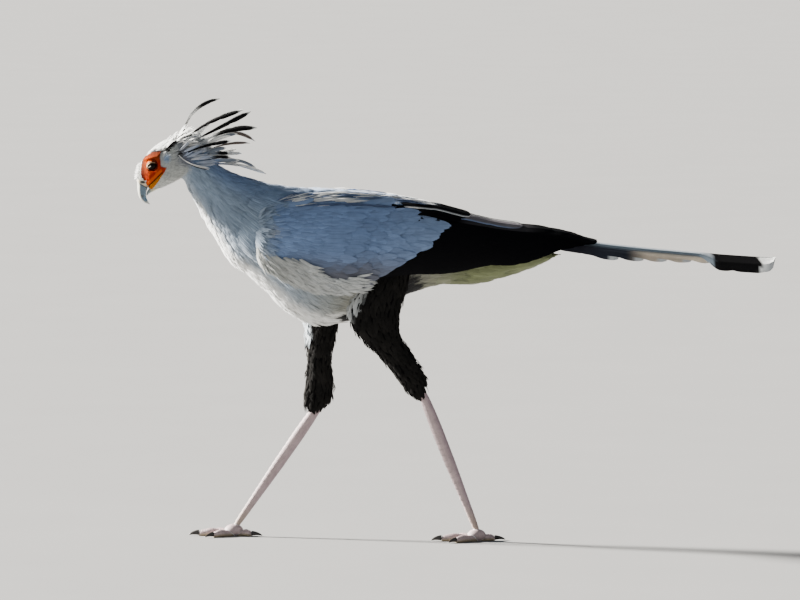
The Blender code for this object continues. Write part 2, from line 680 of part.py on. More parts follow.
def wing_row(kind, name, side, reaches, span, half_width, lifts):
    """A row of feathers from the wing's upper edge down, each given by how far back it reaches."""
    feathers = []
    rows = len(reaches)
    for k, reach in enumerate(reaches):
        level = ROWS_FROM + (ROWS_TO - ROWS_FROM) * (k + 0.5) / rows
        root = (reach - span if span else FLIGHT_ROOT, level)
        stack = VANE_STEP * (rows - k) if lifts[1] is None else lifts[1]
        label = f"{kind}_{name}_{k}"
        feathers.append(wing_vane(label, side, root, (reach, level), half_width, (lifts[0], stack)))
    return feathers


def make_wing(nodes, name, side):
    """One folded wing: a core, its flight feathers shingled from the top down, and a tier of coverts."""
    core = wing_core("wing_" + name, side)
    flights = wing_row("flight", name, side, FLIGHT_REACH, None, FLIGHT_HALF_WIDTH, (-FLIGHT_SINK, None))
    coverts = wing_row(
        "covert", name, side, COVERT_REACH, COVERT_LENGTH, COVERT_HALF_WIDTH, (-COVERT_SINK, COVERT_LIFT)
    )
    combine(core, flights + coverts, "UNION")
    for near in ("torso", "rump", "thigh_" + name):
        combine(core, [grown(nodes[near])], "DIFFERENCE")
    nodes["wing_" + name] = core


def make_thigh(nodes, name, side):
    sections = THIGHS[name]
    last = len(sections) - 1
    thigh = section_loft("thigh_" + name, sections, 0, last, THIGH_RINGS, THIGH_SIDES, side * HIP)
    nodes["thigh_" + name] = combine(thigh, [grown(nodes["torso"]), grown(nodes["rump"])], "DIFFERENCE")


def make_tarsus(nodes, name, side):
    """The bare shank, with a knob at the ankle, a long taper with raised scutes, and the foot's joint."""
    ankle = Vector((ANKLES[name][0], side * HIP, ANKLES[name][1]))
    joint = Vector((FOOT_JOINTS[name][0], side * HIP, FOOT_JOINTS[name][1]))
    along = (joint - ankle).normalized()
    front = Vector((0, 1, 0)).cross(along).normalized()
    if front.x > 0:
        front = -front
    places = [(TARSUS_START, 0.0), (KNOB_END, 0.0)]
    pitch = (SCUTES_TO - SCUTES_FROM) / SCUTES
    for k in range(SCUTES):
        start = SCUTES_FROM + pitch * k
        places += [(start, SCUTE_RISE), (start + pitch * SCUTE_SHARE, 0.0)]
    places += [(JOINT_START, 0.0), (1.0, 0.0)]
    rings = []
    for part, rise in places:
        depth = catmull_rom(TARSUS_DEPTH, max(part, 0) * (len(TARSUS_DEPTH) - 1))
        width = catmull_rom(TARSUS_WIDTH, max(part, 0) * (len(TARSUS_WIDTH) - 1))
        end = TARSUS_BLUNT if part in (TARSUS_START, 1.0) else 1.0
        centre = ankle + (joint - ankle) * part
        ring = []
        for k in range(TARSUS_SIDES):
            turn = 2 * math.pi * k / TARSUS_SIDES
            raised = rise if math.cos(turn) > SCUTES_SPAN else 0.0
            reach = front * math.cos(turn) * (depth * end + raised)
            ring.append(centre + reach + Vector((0, math.sin(turn) * width * end, 0)))
        rings.append(ring)
    tarsus = loft("tarsus_" + name, rings)
    cutters = [grown(nodes["thigh_" + name]), grown(nodes["foot_" + name])]
    nodes["tarsus_" + name] = combine(tarsus, cutters, "DIFFERENCE")


def toe_rings(start, heading, length, radius):
    """Rings along a toe, swollen at its pads and flat where it meets the ground."""
    level = Vector((-heading.y, heading.x, 0))
    rings = []
    for k in range(TOE_RINGS):
        part = k / (TOE_RINGS - 1)
        swell = 1 + TOE_SWELL * math.cos(2 * math.pi * TOE_PADS * part)
        blunt = 0.8 if k == TOE_RINGS - 1 else 1.0
        size = radius * (1 + TOE_TAPER * (0.4 - part)) * swell * blunt
        centre = start + heading * length * part + Vector((0, 0, size * (1 - SOLE_SINK)))
        ring = []
        for m in range(TOE_SIDES):
            turn = 2 * math.pi * (m + 0.5) / TOE_SIDES
            point = centre + level * math.cos(turn) * size + Vector((0, 0, math.sin(turn) * size))
            point.z = max(point.z, 0.0)
            ring.append(point)
        rings.append(ring)
    return rings


def claw_rings(root, heading, length, radius):
    """Rings along a blunt claw that curves down from the end of its toe."""
    level = Vector((-heading.y, heading.x, 0))
    rings = []
    for k in range(CLAW_RINGS):
        part = k / (CLAW_RINGS - 1)
        bend = part * CLAW_BEND
        centre = root + heading * length * math.sin(bend) / math.sin(CLAW_BEND)
        centre.z = root.z - (root.z - CLAW_TIP_HEIGHT) * part**2
        upright = heading * math.sin(bend) + Vector((0, 0, math.cos(bend)))
        size = radius * (1 - part) ** 0.7 + TIP_THICKNESS
        ring = []
        for m in range(CLAW_SIDES):
            turn = 2 * math.pi * m / CLAW_SIDES
            point = centre + level * math.cos(turn) * size * 0.8 + upright * math.sin(turn) * size
            point.z = max(point.z, CLAW_CLEARANCE)
            ring.append(point)
        rings.append(ring)
    return rings


def make_foot(nodes, name, side):
    """Four toes on a low palm, each with a claw of its own that meets the toe's end face to face."""
    joint = Vector((FOOT_JOINTS[name][0], side * HIP, 0))
    palm = ellipsoid("foot_" + name, joint + Vector((PALM_BACK, 0, PALM_HEIGHT)), PALM_SIZE)
    for vert in palm.data.vertices:
        vert.co.z = max(vert.co.z, 0.0)
    toes = []
    for toe in TOES:
        angle = math.radians(toe.angle)
        heading = Vector((-math.cos(angle), -side * math.sin(angle), 0))
        start = joint + heading * TOE_START
        rings = toe_rings(start, heading, toe.length, toe.radius)
        toes.append(loft(f"toe_{name}_{toe.name}", rings))
        end = start + heading * (toe.length + GAP)
        root_radius = toe.radius * CLAW_ROOT
        root = end + Vector((0, 0, root_radius + CLAW_TIP_HEIGHT))
        claw = claw_rings(root, heading, toe.claw, root_radius)
        nodes[f"claw_{name}_{toe.name}"] = loft(f"claw_{name}_{toe.name}", claw)
    nodes["foot_" + name] = combine(palm, toes, "UNION")


FINISHES = (
    ("bill", "bill"),
    ("eye", "eye"),
    ("thigh", "black"),
    ("tail", "plumage"),
    ("tarsus", "leg"),
    ("foot", "leg"),
    ("claw", "claw"),
    ("head", "skin"),
)

clear_scene()
bird = bpy.data.collections.new("secretary_bird")
bpy.context.scene.collection.children.link(bird)
parts = make_body()
finish_head(parts)
make_crest(parts)
make_tail(parts)
for side_name, side_sign in SIDES.items():
    make_thigh(parts, side_name, side_sign)
    make_foot(parts, side_name, side_sign)
    make_tarsus(parts, side_name, side_sign)
    make_wing(parts, side_name, side_sign)
for node_name, node in parts.items():
    matching = [kind for start, kind in FINISHES if node_name.startswith(start)]
    finish(node, matching[0] if matching else "plumage")
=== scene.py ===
# %% [markdown]
# # A secretary bird in mid stride
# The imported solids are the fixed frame. Every cell below dresses a part of them: skin, bare face, bill,
# eyes, legs, and then thousands of feathers, each a small solid vane that lies the way real ones lie.

# %% Load the frame
import math

import bmesh
import bpy
import numpy as np
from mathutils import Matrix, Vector


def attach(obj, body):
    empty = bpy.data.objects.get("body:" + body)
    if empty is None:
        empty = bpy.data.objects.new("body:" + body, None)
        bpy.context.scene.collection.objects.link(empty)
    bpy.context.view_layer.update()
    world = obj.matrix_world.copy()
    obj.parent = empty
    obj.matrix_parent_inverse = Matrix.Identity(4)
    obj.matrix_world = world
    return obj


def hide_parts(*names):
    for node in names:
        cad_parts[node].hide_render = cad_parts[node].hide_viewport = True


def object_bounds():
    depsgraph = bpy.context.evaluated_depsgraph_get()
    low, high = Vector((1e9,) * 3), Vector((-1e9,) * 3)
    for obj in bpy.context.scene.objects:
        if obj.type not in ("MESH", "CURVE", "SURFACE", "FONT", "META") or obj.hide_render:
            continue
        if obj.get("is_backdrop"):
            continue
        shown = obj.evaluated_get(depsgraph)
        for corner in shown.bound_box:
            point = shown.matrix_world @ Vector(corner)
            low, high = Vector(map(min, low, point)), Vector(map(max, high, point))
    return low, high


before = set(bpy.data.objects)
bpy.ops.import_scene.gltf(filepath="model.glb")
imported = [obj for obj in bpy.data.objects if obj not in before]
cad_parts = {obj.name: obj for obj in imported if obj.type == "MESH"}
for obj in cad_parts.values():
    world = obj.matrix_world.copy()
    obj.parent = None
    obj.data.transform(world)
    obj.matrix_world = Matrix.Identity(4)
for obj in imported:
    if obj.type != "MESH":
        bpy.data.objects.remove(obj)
cad_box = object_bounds()
print("nodes", len(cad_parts))

# %% [markdown]
# ## Camera
# A bird this far away is photographed with a long lens, which flattens it like a profile drawing.
# The camera stands 15 m off on the bird's left, a little above the ground it looks at, so a short lens
# close by would give the wrong proportions even with the same framing.

# %% Camera
VIEW_WIDTH = 1.56
VIEW_DISTANCE = 15.0
VIEW_ELEVATION = math.radians(4.5)
VIEW_CENTRE = np.array([-0.1082, 0.0, 0.4675])
SENSOR = 36.0

camera = bpy.data.objects.new("camera", bpy.data.cameras.new("camera"))
bpy.context.scene.collection.objects.link(camera)
camera.data.sensor_width = SENSOR
camera.data.lens = SENSOR * VIEW_DISTANCE / VIEW_WIDTH
away = np.array([0, -math.cos(VIEW_ELEVATION), math.sin(VIEW_ELEVATION)])
camera.location = VIEW_CENTRE + away * VIEW_DISTANCE
camera.rotation_euler = (math.pi / 2 - VIEW_ELEVATION, 0, 0)
camera.data.clip_end = 100
bpy.context.scene.camera = camera
print("lens", round(camera.data.lens))

# %% [markdown]
# ## Paint
# Colours are easiest to judge as screen values from 0 to 255, but shaders add light in linear values.
# One small function turns the first into the second, and a second one makes a material whose nodes
# the later cells can wire up.

# %% Paint
def paint(red, green, blue):
    """A screen colour as linear values."""
    parts = np.array([red, green, blue]) / 255
    return np.where(parts <= 0.04045, parts / 12.92, ((parts + 0.055) / 1.055) ** 2.4)


print("white", paint(255, 255, 255))


# %% Materials
def new_finish(name, roughness=0.5, **settings):
    """A material, its node tree, and its shader with the steady values set."""
    made = bpy.data.materials.new(name)
    made.use_nodes = True
    tree = made.node_tree
    shader = tree.nodes["Principled BSDF"]
    shader.inputs["Roughness"].default_value = roughness
    for key, value in settings.items():
        shader.inputs[key.replace("_", " ")].default_value = value
    return made, tree, shader


def add(tree, kind, inputs=(), **settings):
    """Adds a node, gives it settings, and links or sets its inputs by name or number."""
    node = tree.nodes.new(kind)
    for key, value in settings.items():
        setattr(node, key, value)
    for key, value in dict(inputs).items():
        if isinstance(value, bpy.types.NodeSocket):
            tree.links.new(value, node.inputs[key])
        else:
            node.inputs[key].default_value = value
    return node


def noise(tree, where, scale, detail=4.0, distortion=0.0):
    made = add(tree, "ShaderNodeTexNoise", {"Vector": where, "Scale": scale, "Detail": detail})
    made.inputs["Distortion"].default_value = distortion
    return made.outputs["Fac"]


def math_node(tree, operation, first, second=0.0):
    return add(tree, "ShaderNodeMath", {0: first, 1: second}, operation=operation).outputs[0]


def spread(tree, value, low, high, to_low, to_high):
    """Maps a range of values onto another one."""
    inputs = {"Value": value, "From Min": low, "From Max": high, "To Min": to_low, "To Max": to_high}
    return add(tree, "ShaderNodeMapRange", inputs).outputs[0]


def blend_colour(tree, share, first, second, kind="MIX"):
    node = add(tree, "ShaderNodeMix", data_type="RGBA", blend_type=kind)
    for key, value in ((0, share), (6, first), (7, second)):
        if isinstance(value, bpy.types.NodeSocket):
            tree.links.new(value, node.inputs[key])
        else:
            node.inputs[key].default_value = value if key == 0 else (*value, 1)
    return node.outputs[2]


def scaled(tree, vector, share):
    """A vector or a colour times a number."""
    return add(tree, "ShaderNodeVectorMath", {0: vector, "Scale": share}, operation="SCALE").outputs[0]


def bump(tree, shader, height, strength, distance):
    made = add(tree, "ShaderNodeBump", {"Height": height, "Strength": strength, "Distance": distance})
    tree.links.new(made.outputs[0], shader.inputs["Normal"])


def object_place(tree):
    return add(tree, "ShaderNodeTexCoord").outputs["Object"]


def tint_of(tree):
    return add(tree, "ShaderNodeAttribute", attribute_name="tint").outputs["Color"]


print("material helpers ready")

# %% [markdown]
# ## Floor and light
# Plain and pale, like a museum's photo table. In the photo the sun stands ahead of the bird and beyond
# it, so the throat, crown and back are bright and the near side is in soft shade. A large soft light
# takes the sun's place, and a wide, weak one on the camera's side fills the shade.

# %% Floor and lights
FLOOR_SIZE = 80.0
floor_mesh = bpy.data.meshes.new("floor")
half = FLOOR_SIZE / 2
corners = [(-half, -half, 0), (half, -half, 0), (half, half, 0), (-half, half, 0)]
floor_mesh.from_pydata(corners, [], [(0, 1, 2, 3)])
floor = bpy.data.objects.new("floor", floor_mesh)
bpy.context.scene.collection.objects.link(floor)
floor_finish, floor_tree, floor_shader = new_finish("pale_floor", 0.9)
mottle = noise(floor_tree, object_place(floor_tree), 3.0)
pale = blend_colour(floor_tree, mottle, paint(132, 131, 130), paint(138, 137, 136))
floor_tree.links.new(pale, floor_shader.inputs["Base Color"])
floor_mesh.materials.append(floor_finish)
floor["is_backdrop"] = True

world = bpy.data.worlds.new("studio")
bpy.context.scene.world = world
world.use_nodes = True
world.node_tree.nodes["Background"].inputs[0].default_value = (0.78, 0.88, 1.0, 1)
world.node_tree.nodes["Background"].inputs[1].default_value = 0.22


def aimed(name, kind, place, power, colour):
    """A light that faces the middle of the bird."""
    made = bpy.data.objects.new(name, bpy.data.lights.new(name, kind))
    bpy.context.scene.collection.objects.link(made)
    made.data.energy = power
    made.data.color = colour
    made.location = place
    made.rotation_euler = (Vector(place) - Vector((0, 0, 0.5))).to_track_quat("Z", "Y").to_euler()
    return made.data


aimed("sun_side", "SUN", (-4.0, 1.42, 2.3), 36.0, (1.0, 0.97, 0.91)).angle = math.radians(7)
aimed("shade_side", "AREA", (-2.5, -4.5, 3.4), 28.0, (0.84, 0.92, 1.0)).size = 3.0
print("lights", len(bpy.data.lights))

# %% [markdown]
# ## The body's shape as a formula
# The body is one row of cross sections from the bill's tip to the undertail. Reading that table
# smoothly gives a point for every pair of numbers: how far along, and how far round. Skin, feathers and
# their direction can then all come from the same formula, which painting or sculpting by hand can't
# give. The sections are the solids' own, so skin and frame agree.

# %% Sections of the body
# Each row is the point on the back (x, z), the point on the belly (x, z), and half the width.
BODY = np.array([
    (-0.5950, 0.6538, -0.5960, 0.6560, 0.0011),
    (-0.6065, 0.6580, -0.5995, 0.6620, 0.0032),
    (-0.6150, 0.6665, -0.6025, 0.6695, 0.0052),
    (-0.6190, 0.6800, -0.6022, 0.6790, 0.0074),
    (-0.6198, 0.6960, -0.5998, 0.6865, 0.0092),
    (-0.6195, 0.7120, -0.5985, 0.6885, 0.0110),
    (-0.6150, 0.7310, -0.5960, 0.6860, 0.0160),
    (-0.6060, 0.7460, -0.5925, 0.6835, 0.0225),
    (-0.5940, 0.7610, -0.5870, 0.6830, 0.0275),
    (-0.5780, 0.7740, -0.5800, 0.6840, 0.0315),
    (-0.5570, 0.7850, -0.5700, 0.6870, 0.0345),
    (-0.5330, 0.7900, -0.5610, 0.6910, 0.0360),
    (-0.5120, 0.7800, -0.5480, 0.6970, 0.0360),
    (-0.4900, 0.7600, -0.5350, 0.7020, 0.0355),
    (-0.4700, 0.7410, -0.5260, 0.6900, 0.0365),
    (-0.4440, 0.7240, -0.5120, 0.6630, 0.0405),
    (-0.4100, 0.7110, -0.4940, 0.6280, 0.0490),
    (-0.3710, 0.7000, -0.4730, 0.5920, 0.0600),
    (-0.3230, 0.6920, -0.4480, 0.5510, 0.0740),
    (-0.2680, 0.6890, -0.4140, 0.5200, 0.0860),
    (-0.2140, 0.6860, -0.3790, 0.4870, 0.0930),
    (-0.1630, 0.6810, -0.3360, 0.4460, 0.0930),
    (-0.1180, 0.6740, -0.2840, 0.4190, 0.0880),
    (-0.0770, 0.6640, -0.2210, 0.4200, 0.0770),
    (-0.0380, 0.6510, -0.1570, 0.4420, 0.0620),
    (-0.0010, 0.6380, -0.0980, 0.4720, 0.0500),
    (0.0360, 0.6230, -0.0380, 0.4920, 0.0410),
    (0.0660, 0.6060, 0.0140, 0.4940, 0.0350),
    (0.0860, 0.5860, 0.0560, 0.5010, 0.0330),
    (0.1120, 0.5760, 0.0980, 0.5110, 0.0310),
    (0.1520, 0.5700, 0.1460, 0.5270, 0.0255),
    (0.1900, 0.5630, 0.1880, 0.5460, 0.0150),
    (0.2060, 0.5580, 0.2055, 0.5550, 0.0040),
])
BODY_END = len(BODY) - 1.0
print("sections of the body", len(BODY))

# %% Sections of thighs and wings
# Each row is the front (x, z) and the rear (x, z) of the thigh, and half its width.
THIGHS = {
    "left": np.array([
        (-0.1950, 0.5050, -0.0780, 0.5480, 0.0280),
        (-0.2150, 0.4620, -0.0890, 0.5040, 0.0370),
        (-0.2060, 0.4200, -0.1020, 0.4560, 0.0370),
        (-0.1780, 0.3840, -0.1060, 0.4160, 0.0320),
        (-0.1550, 0.3620, -0.0960, 0.3910, 0.0280),
        (-0.1340, 0.3360, -0.0770, 0.3620, 0.0240),
        (-0.1140, 0.3100, -0.0600, 0.3320, 0.0210),
        (-0.0950, 0.2870, -0.0540, 0.3050, 0.0170),
        (-0.0800, 0.2760, -0.0540, 0.2880, 0.0115),
    ]),
    "right": np.array([
        (-0.3000, 0.5200, -0.1900, 0.5300, 0.0280),
        (-0.3110, 0.4700, -0.2060, 0.4780, 0.0380),
        (-0.2990, 0.4130, -0.2250, 0.4130, 0.0360),
        (-0.2960, 0.3760, -0.2330, 0.3800, 0.0320),
        (-0.2930, 0.3430, -0.2390, 0.3410, 0.0280),
        (-0.2970, 0.3070, -0.2350, 0.3070, 0.0240),
        (-0.3000, 0.2780, -0.2360, 0.2840, 0.0210),
        (-0.2970, 0.2540, -0.2430, 0.2640, 0.0170),
        (-0.2890, 0.2400, -0.2530, 0.2530, 0.0115),
    ]),
}
HIP = 0.046
SIDES = {"left": -1, "right": 1}
LEVEL = np.array([0.0, 1.0, 0.0])
UP = np.array([0.0, 0.0, 1.0])

# Each row is the wing's upper edge (x, y, z), its lower edge (x, y, z), and its bulge between them.
WING = np.array([
    (-0.3930, 0.066, 0.6200, -0.3980, 0.070, 0.5940, 0.006),
    (-0.3790, 0.062, 0.6500, -0.3790, 0.078, 0.5500, 0.016),
    (-0.3440, 0.056, 0.6690, -0.3420, 0.084, 0.5220, 0.027),
    (-0.2900, 0.049, 0.6780, -0.2840, 0.086, 0.4990, 0.034),
    (-0.2150, 0.043, 0.6810, -0.2150, 0.085, 0.4910, 0.039),
    (-0.1350, 0.027, 0.6735, -0.1500, 0.079, 0.5070, 0.040),
    (-0.0690, 0.015, 0.6610, -0.0790, 0.066, 0.5200, 0.035),
    (0.0000, 0.008, 0.6420, -0.0100, 0.053, 0.5260, 0.027),
    (0.0620, 0.006, 0.6240, 0.0610, 0.045, 0.5430, 0.017),
    (0.1300, 0.006, 0.6090, 0.1300, 0.041, 0.5460, 0.010),
    (0.2040, 0.006, 0.5965, 0.2040, 0.037, 0.5620, 0.005),
    (0.2760, 0.008, 0.5830, 0.2760, 0.026, 0.5700, 0.002),
])
WING_FULLNESS = 0.65
print("sections of a wing", len(WING))


# %% Surfaces from sections
def along_rows(rows, place):
    """Smooth values through a table's rows, at places counted in rows."""
    last = len(rows) - 1
    place = np.clip(np.asarray(place, float), 0, last)
    step = np.minimum(place.astype(int), last - 1)
    part = (place - step)[..., None]
    before, here, there, after = (rows[np.clip(step + k, 0, last)] for k in (-1, 0, 1, 2))
    bend = 2 * before - 5 * here + 4 * there - after
    twist = 3 * here - before - 3 * there + after
    return 0.5 * (2 * here + (there - before) * part + bend * part**2 + twist * part**3)


def tube(rows, centre_y=0.0):
    """A surface round a row of sections, asked for by how far along and how far round from 0 to 1."""

    def point(along, around):
        row = along_rows(rows, along)
        turn = 2 * np.pi * np.asarray(around)
        x = (row[..., 0] + row[..., 2]) / 2 + (row[..., 0] - row[..., 2]) / 2 * np.cos(turn)
        z = (row[..., 1] + row[..., 3]) / 2 + (row[..., 1] - row[..., 3]) / 2 * np.cos(turn)
        return np.stack([x, centre_y + row[..., 4] * np.sin(turn), z], -1)

    return point


def wing_face(side):
    """The folded wing's outer face, asked for by a place along it and how far down from edge to edge."""

    def point(place, down):
        row = along_rows(WING, place)
        down = np.asarray(down, float)[..., None]
        made = row[..., 0:3] * (1 - down) + row[..., 3:6] * down
        made[..., 1] += row[..., 6] * np.clip(np.sin(np.pi * down[..., 0]), 0, 1) ** WING_FULLNESS
        made[..., 1] *= side
        return made

    return point


def unit(vectors):
    return vectors / np.maximum(np.linalg.norm(vectors, axis=-1, keepdims=True), 1e-12)


def smooth(low, high, value):
    """0 below low, 1 above high, and an even slope between."""
    part = np.clip((value - low) / (high - low), 0, 1)
    return part * part * (3 - 2 * part)


def lay(surface, a, b, side=1, step=0.03):
    """Points on a surface, with the outward direction and the direction in which the first number grows."""
    lie = unit(surface(a + step, b) - surface(a - step, b))
    across = surface(a, b + step) - surface(a, b - step)
    out = unit(np.cross(lie, across)) * side
    return surface(a, b), out, lie


body = tube(BODY)
print("back at the shoulders", body(18.0, 0.0))

# %% [markdown]
# ## Lofts
# Bill, legs, toes, plumes and long feathers are all a row of closed rings, only of different sizes.
# One function joins any number of such rows into one mesh. It also unwraps each row on a strip of its
# own for the baked colours, and keeps a second map that tells a shader where it is on a feather.

# %% Rings to mesh
def mesh_of(name, verts, faces, tint, maps, finish):
    """A piece from arrays of points, quads, colours per point and maps per corner."""
    mesh = bpy.data.meshes.new(name)
    mesh.from_pydata(verts.tolist(), [], faces if isinstance(faces, list) else faces.tolist())
    colours = mesh.attributes.new("tint", "FLOAT_COLOR", "POINT")
    colours.data.foreach_set("color", np.c_[tint, np.ones(len(tint))].astype(np.float32).ravel())
    for key, values in maps.items():
        layer = mesh.uv_layers.new(name=key)
        layer.uv.foreach_set("vector", values.astype(np.float32).ravel())
    mesh.materials.append(finish)
    mesh.shade_smooth()
    made = bpy.data.objects.new(name, mesh)
    bpy.context.scene.collection.objects.link(made)
    return made


def off_rim(share):
    """A share of the baked map's width, kept a little off its rim."""
    return 0.02 + 0.96 * share


def loft_piece(name, lofts, finish, angle=50):
    """Joins rows of rings into one closed piece. A loft is its rings, where each ring point is across,
    and its colours."""
    verts, faces, tints, vane, bake = [], [], [], [], []
    start = 0
    for order, (rings, across, tint) in enumerate(lofts):
        count, sides = rings.shape[:2]
        verts.append(rings.reshape(-1, 3))
        tints.append(np.broadcast_to(tint, rings.shape).reshape(-1, 3))
        across = np.append(across, across[0])
        for i in range(count - 1):
            for j in range(sides):
                after = (j + 1) % sides
                here, there = start + i * sides, start + (i + 1) * sides
                faces.append((here + j, here + after, there + after, there + j))
                low, high = i / (count - 1), (i + 1) / (count - 1)
                vane += [(across[j], low), (across[j + 1], low), (across[j + 1], high), (across[j], high)]
                left, right = ((order + 0.06 + 0.88 * (j + k) / sides) / len(lofts) for k in (0, 1))
                down, up = off_rim(low), off_rim(high)
                bake += [(left, down), (right, down), (right, up), (left, up)]
        faces.append(tuple(start + j for j in range(sides))[::-1])
        faces.append(tuple(start + (count - 1) * sides + j for j in range(sides)))
        for end in (0.0, 1.0):
            vane += [(0.5, end)] * sides
            bake += [((order + 0.06) / len(lofts), off_rim(end))] * sides
        start += count * sides
    maps = {"Vane": np.array(vane), "OFBake": np.array(bake)}
    made = mesh_of(name, np.concatenate(verts), faces, np.concatenate(tints), maps, finish)
    form = bmesh.new()
    form.from_mesh(made.data)
    bmesh.ops.recalc_face_normals(form, faces=form.faces)
    form.to_mesh(made.data)
    form.free()
    made.data.set_sharp_from_angle(angle=math.radians(angle))
    return made


print("loft helper ready")

# %% [markdown]
# ## Markings of the head
# The bare face has a hard edge where feathers start, so it is drawn as an outline in profile and used
# three times: for the skin's colour, for its folds, and to keep feathers off it. A distance to the
# outline, positive inside, makes soft and hard borders from the same line.

# %% Head markings
FACE = np.array([
    (-0.6121, 0.7030), (-0.6132, 0.7220), (-0.6110, 0.7400), (-0.6045, 0.7490), (-0.5918, 0.7575),
    (-0.5729, 0.7598), (-0.5745, 0.7458), (-0.5725, 0.7305), (-0.5616, 0.7275), (-0.5660, 0.7180),
    (-0.5715, 0.7110), (-0.5760, 0.7025), (-0.5845, 0.6905), (-0.5925, 0.6815), (-0.5975, 0.6830),
    (-0.6015, 0.6880), (-0.6030, 0.7009),
])
GAPE = np.array([(-0.5700, 0.7185), (-0.6002, 0.6880)])
CROWN_LINE = np.array([
    (-0.6300, 0.6000), (-0.6120, 0.6900), (-0.6085, 0.7400), (-0.6050, 0.7490), (-0.5918, 0.7580),
    (-0.5760, 0.7602), (-0.5692, 0.7615), (-0.5602, 0.7670), (-0.5513, 0.7750), (-0.5440, 0.7850),
    (-0.5380, 0.7960),
])
EAR = np.array([-0.5640, 0.7450])
PLUME_FOOT = np.array([-0.5395, 0.7555])
EYE = np.array([-0.5895, 0.0172, 0.7320])
EYE_RADIUS = 0.0112
FACING = math.radians(4)

WHITE = paint(250, 250, 247)
CHEEK = paint(170, 173, 170)
NAPE_BLUE = paint(120, 145, 184)
NAPE_GREY = paint(110, 114, 128)
PLUME_PALE = paint(206, 206, 204)
PLUME_DARK = paint(50, 55, 66)
THROAT = paint(196, 198, 194)
EAR_BLUE = paint(110, 144, 186)
JET = paint(9, 8, 10)
FACE_RED = paint(150, 30, 0)
FACE_ORANGE = paint(198, 84, 2)
# Painted highlight on the upper face, in peach.
PAINTED_FACE_HIGHLIGHT = paint(226, 92, 22)
GAPE_YELLOW = paint(168, 98, 0)
GAPE_DARK = paint(44, 18, 6)
# Painted highlight on the upper lid, in cream.
PAINTED_LID_HIGHLIGHT = paint(240, 205, 160)
# Where the face's painted highlight is centred.
FACE_HIGHLIGHT_SPOT = np.array([-0.5985, 0.7495])
# Two dark spots at the front of the face.
DARK_SPOTS = ((-0.6105, 0.7370), (-0.6095, 0.7040))
print("face outline points", len(FACE))


# %% Lines and patterns
def to_segment(x, z, start, end):
    """The distance to a line between two points, in profile."""
    along = end - start
    part = np.clip(((x - start[0]) * along[0] + (z - start[1]) * along[1]) / (along @ along), 0, 1)
    return np.hypot(x - start[0] - part * along[0], z - start[1] - part * along[1])


def inside_by(outline, x, z):
    """How far a point in profile is inside an outline, and negative outside it."""
    near = np.full(np.shape(x), 1.0)
    inside = np.zeros(np.shape(x), bool)
    for start, end in zip(outline, np.roll(outline, -1, axis=0)):
        near = np.minimum(near, to_segment(x, z, start, end))
        crosses = (start[1] > z) != (end[1] > z)
        part = (z - start[1]) / (end[1] - start[1] + 1e-12)
        inside ^= crosses & (x < start[0] + (end[0] - start[0]) * part)
    return np.where(inside, near, -near)


def ripple(points, scale, seed=0):
    """A cheap smooth pattern from a few crossed waves, from -1 to 1."""
    total = np.zeros(points.shape[:-1])
    rng = np.random.default_rng(seed)
    for _ in range(6):
        wave = rng.normal(size=3) * scale
        total += np.sin(points @ wave + rng.uniform(0, 7))
    return total / 6


def mix(first, second, share):
    share = np.asarray(share)[..., None]
    return first * (1 - share) + second * share


print("a ripple at the eye", ripple(EYE, 500))


# %% Head colours
def head_tint(points):
    """The colours of the head, for skin and feathers alike."""
    x, z = points[..., 0], points[..., 2]
    edge = ripple(points, 900, 3) * 0.0008
    line = np.interp(x, CROWN_LINE[:, 0], CROWN_LINE[:, 1])
    made = mix(CHEEK, NAPE_GREY, smooth(-0.556, -0.530, x) * smooth(0.722, 0.745, z))
    made = mix(made, NAPE_BLUE, smooth(-0.530, -0.505, x))
    made = mix(made, THROAT, smooth(0.712, 0.694, z))
    ear = np.hypot(x - EAR[0], (z - EAR[1]) * 0.7)
    made = mix(made, EAR_BLUE, 0.75 * smooth(0.0095, 0.0010, ear))
    # Above the crown line the head is white: partly the crown's own pale colour, partly painted sunlight.
    made = mix(made, WHITE, smooth(-0.001, 0.001, z - line + edge))
    thick = 0.0026 + 0.0018 * smooth(-0.572, -0.556, x) + 0.0014 * ripple(points, 500, 6)
    streak = smooth(0.0008, -0.0004, abs(z - line + edge) - thick) * smooth(-0.598, -0.590, x)
    made = mix(made, JET, streak * smooth(-0.536, -0.544, x))
    foot = np.hypot(x - PLUME_FOOT[0], (z - PLUME_FOOT[1]) * 0.7)
    return mix(made, JET, smooth(0.0060, 0.0035, foot))


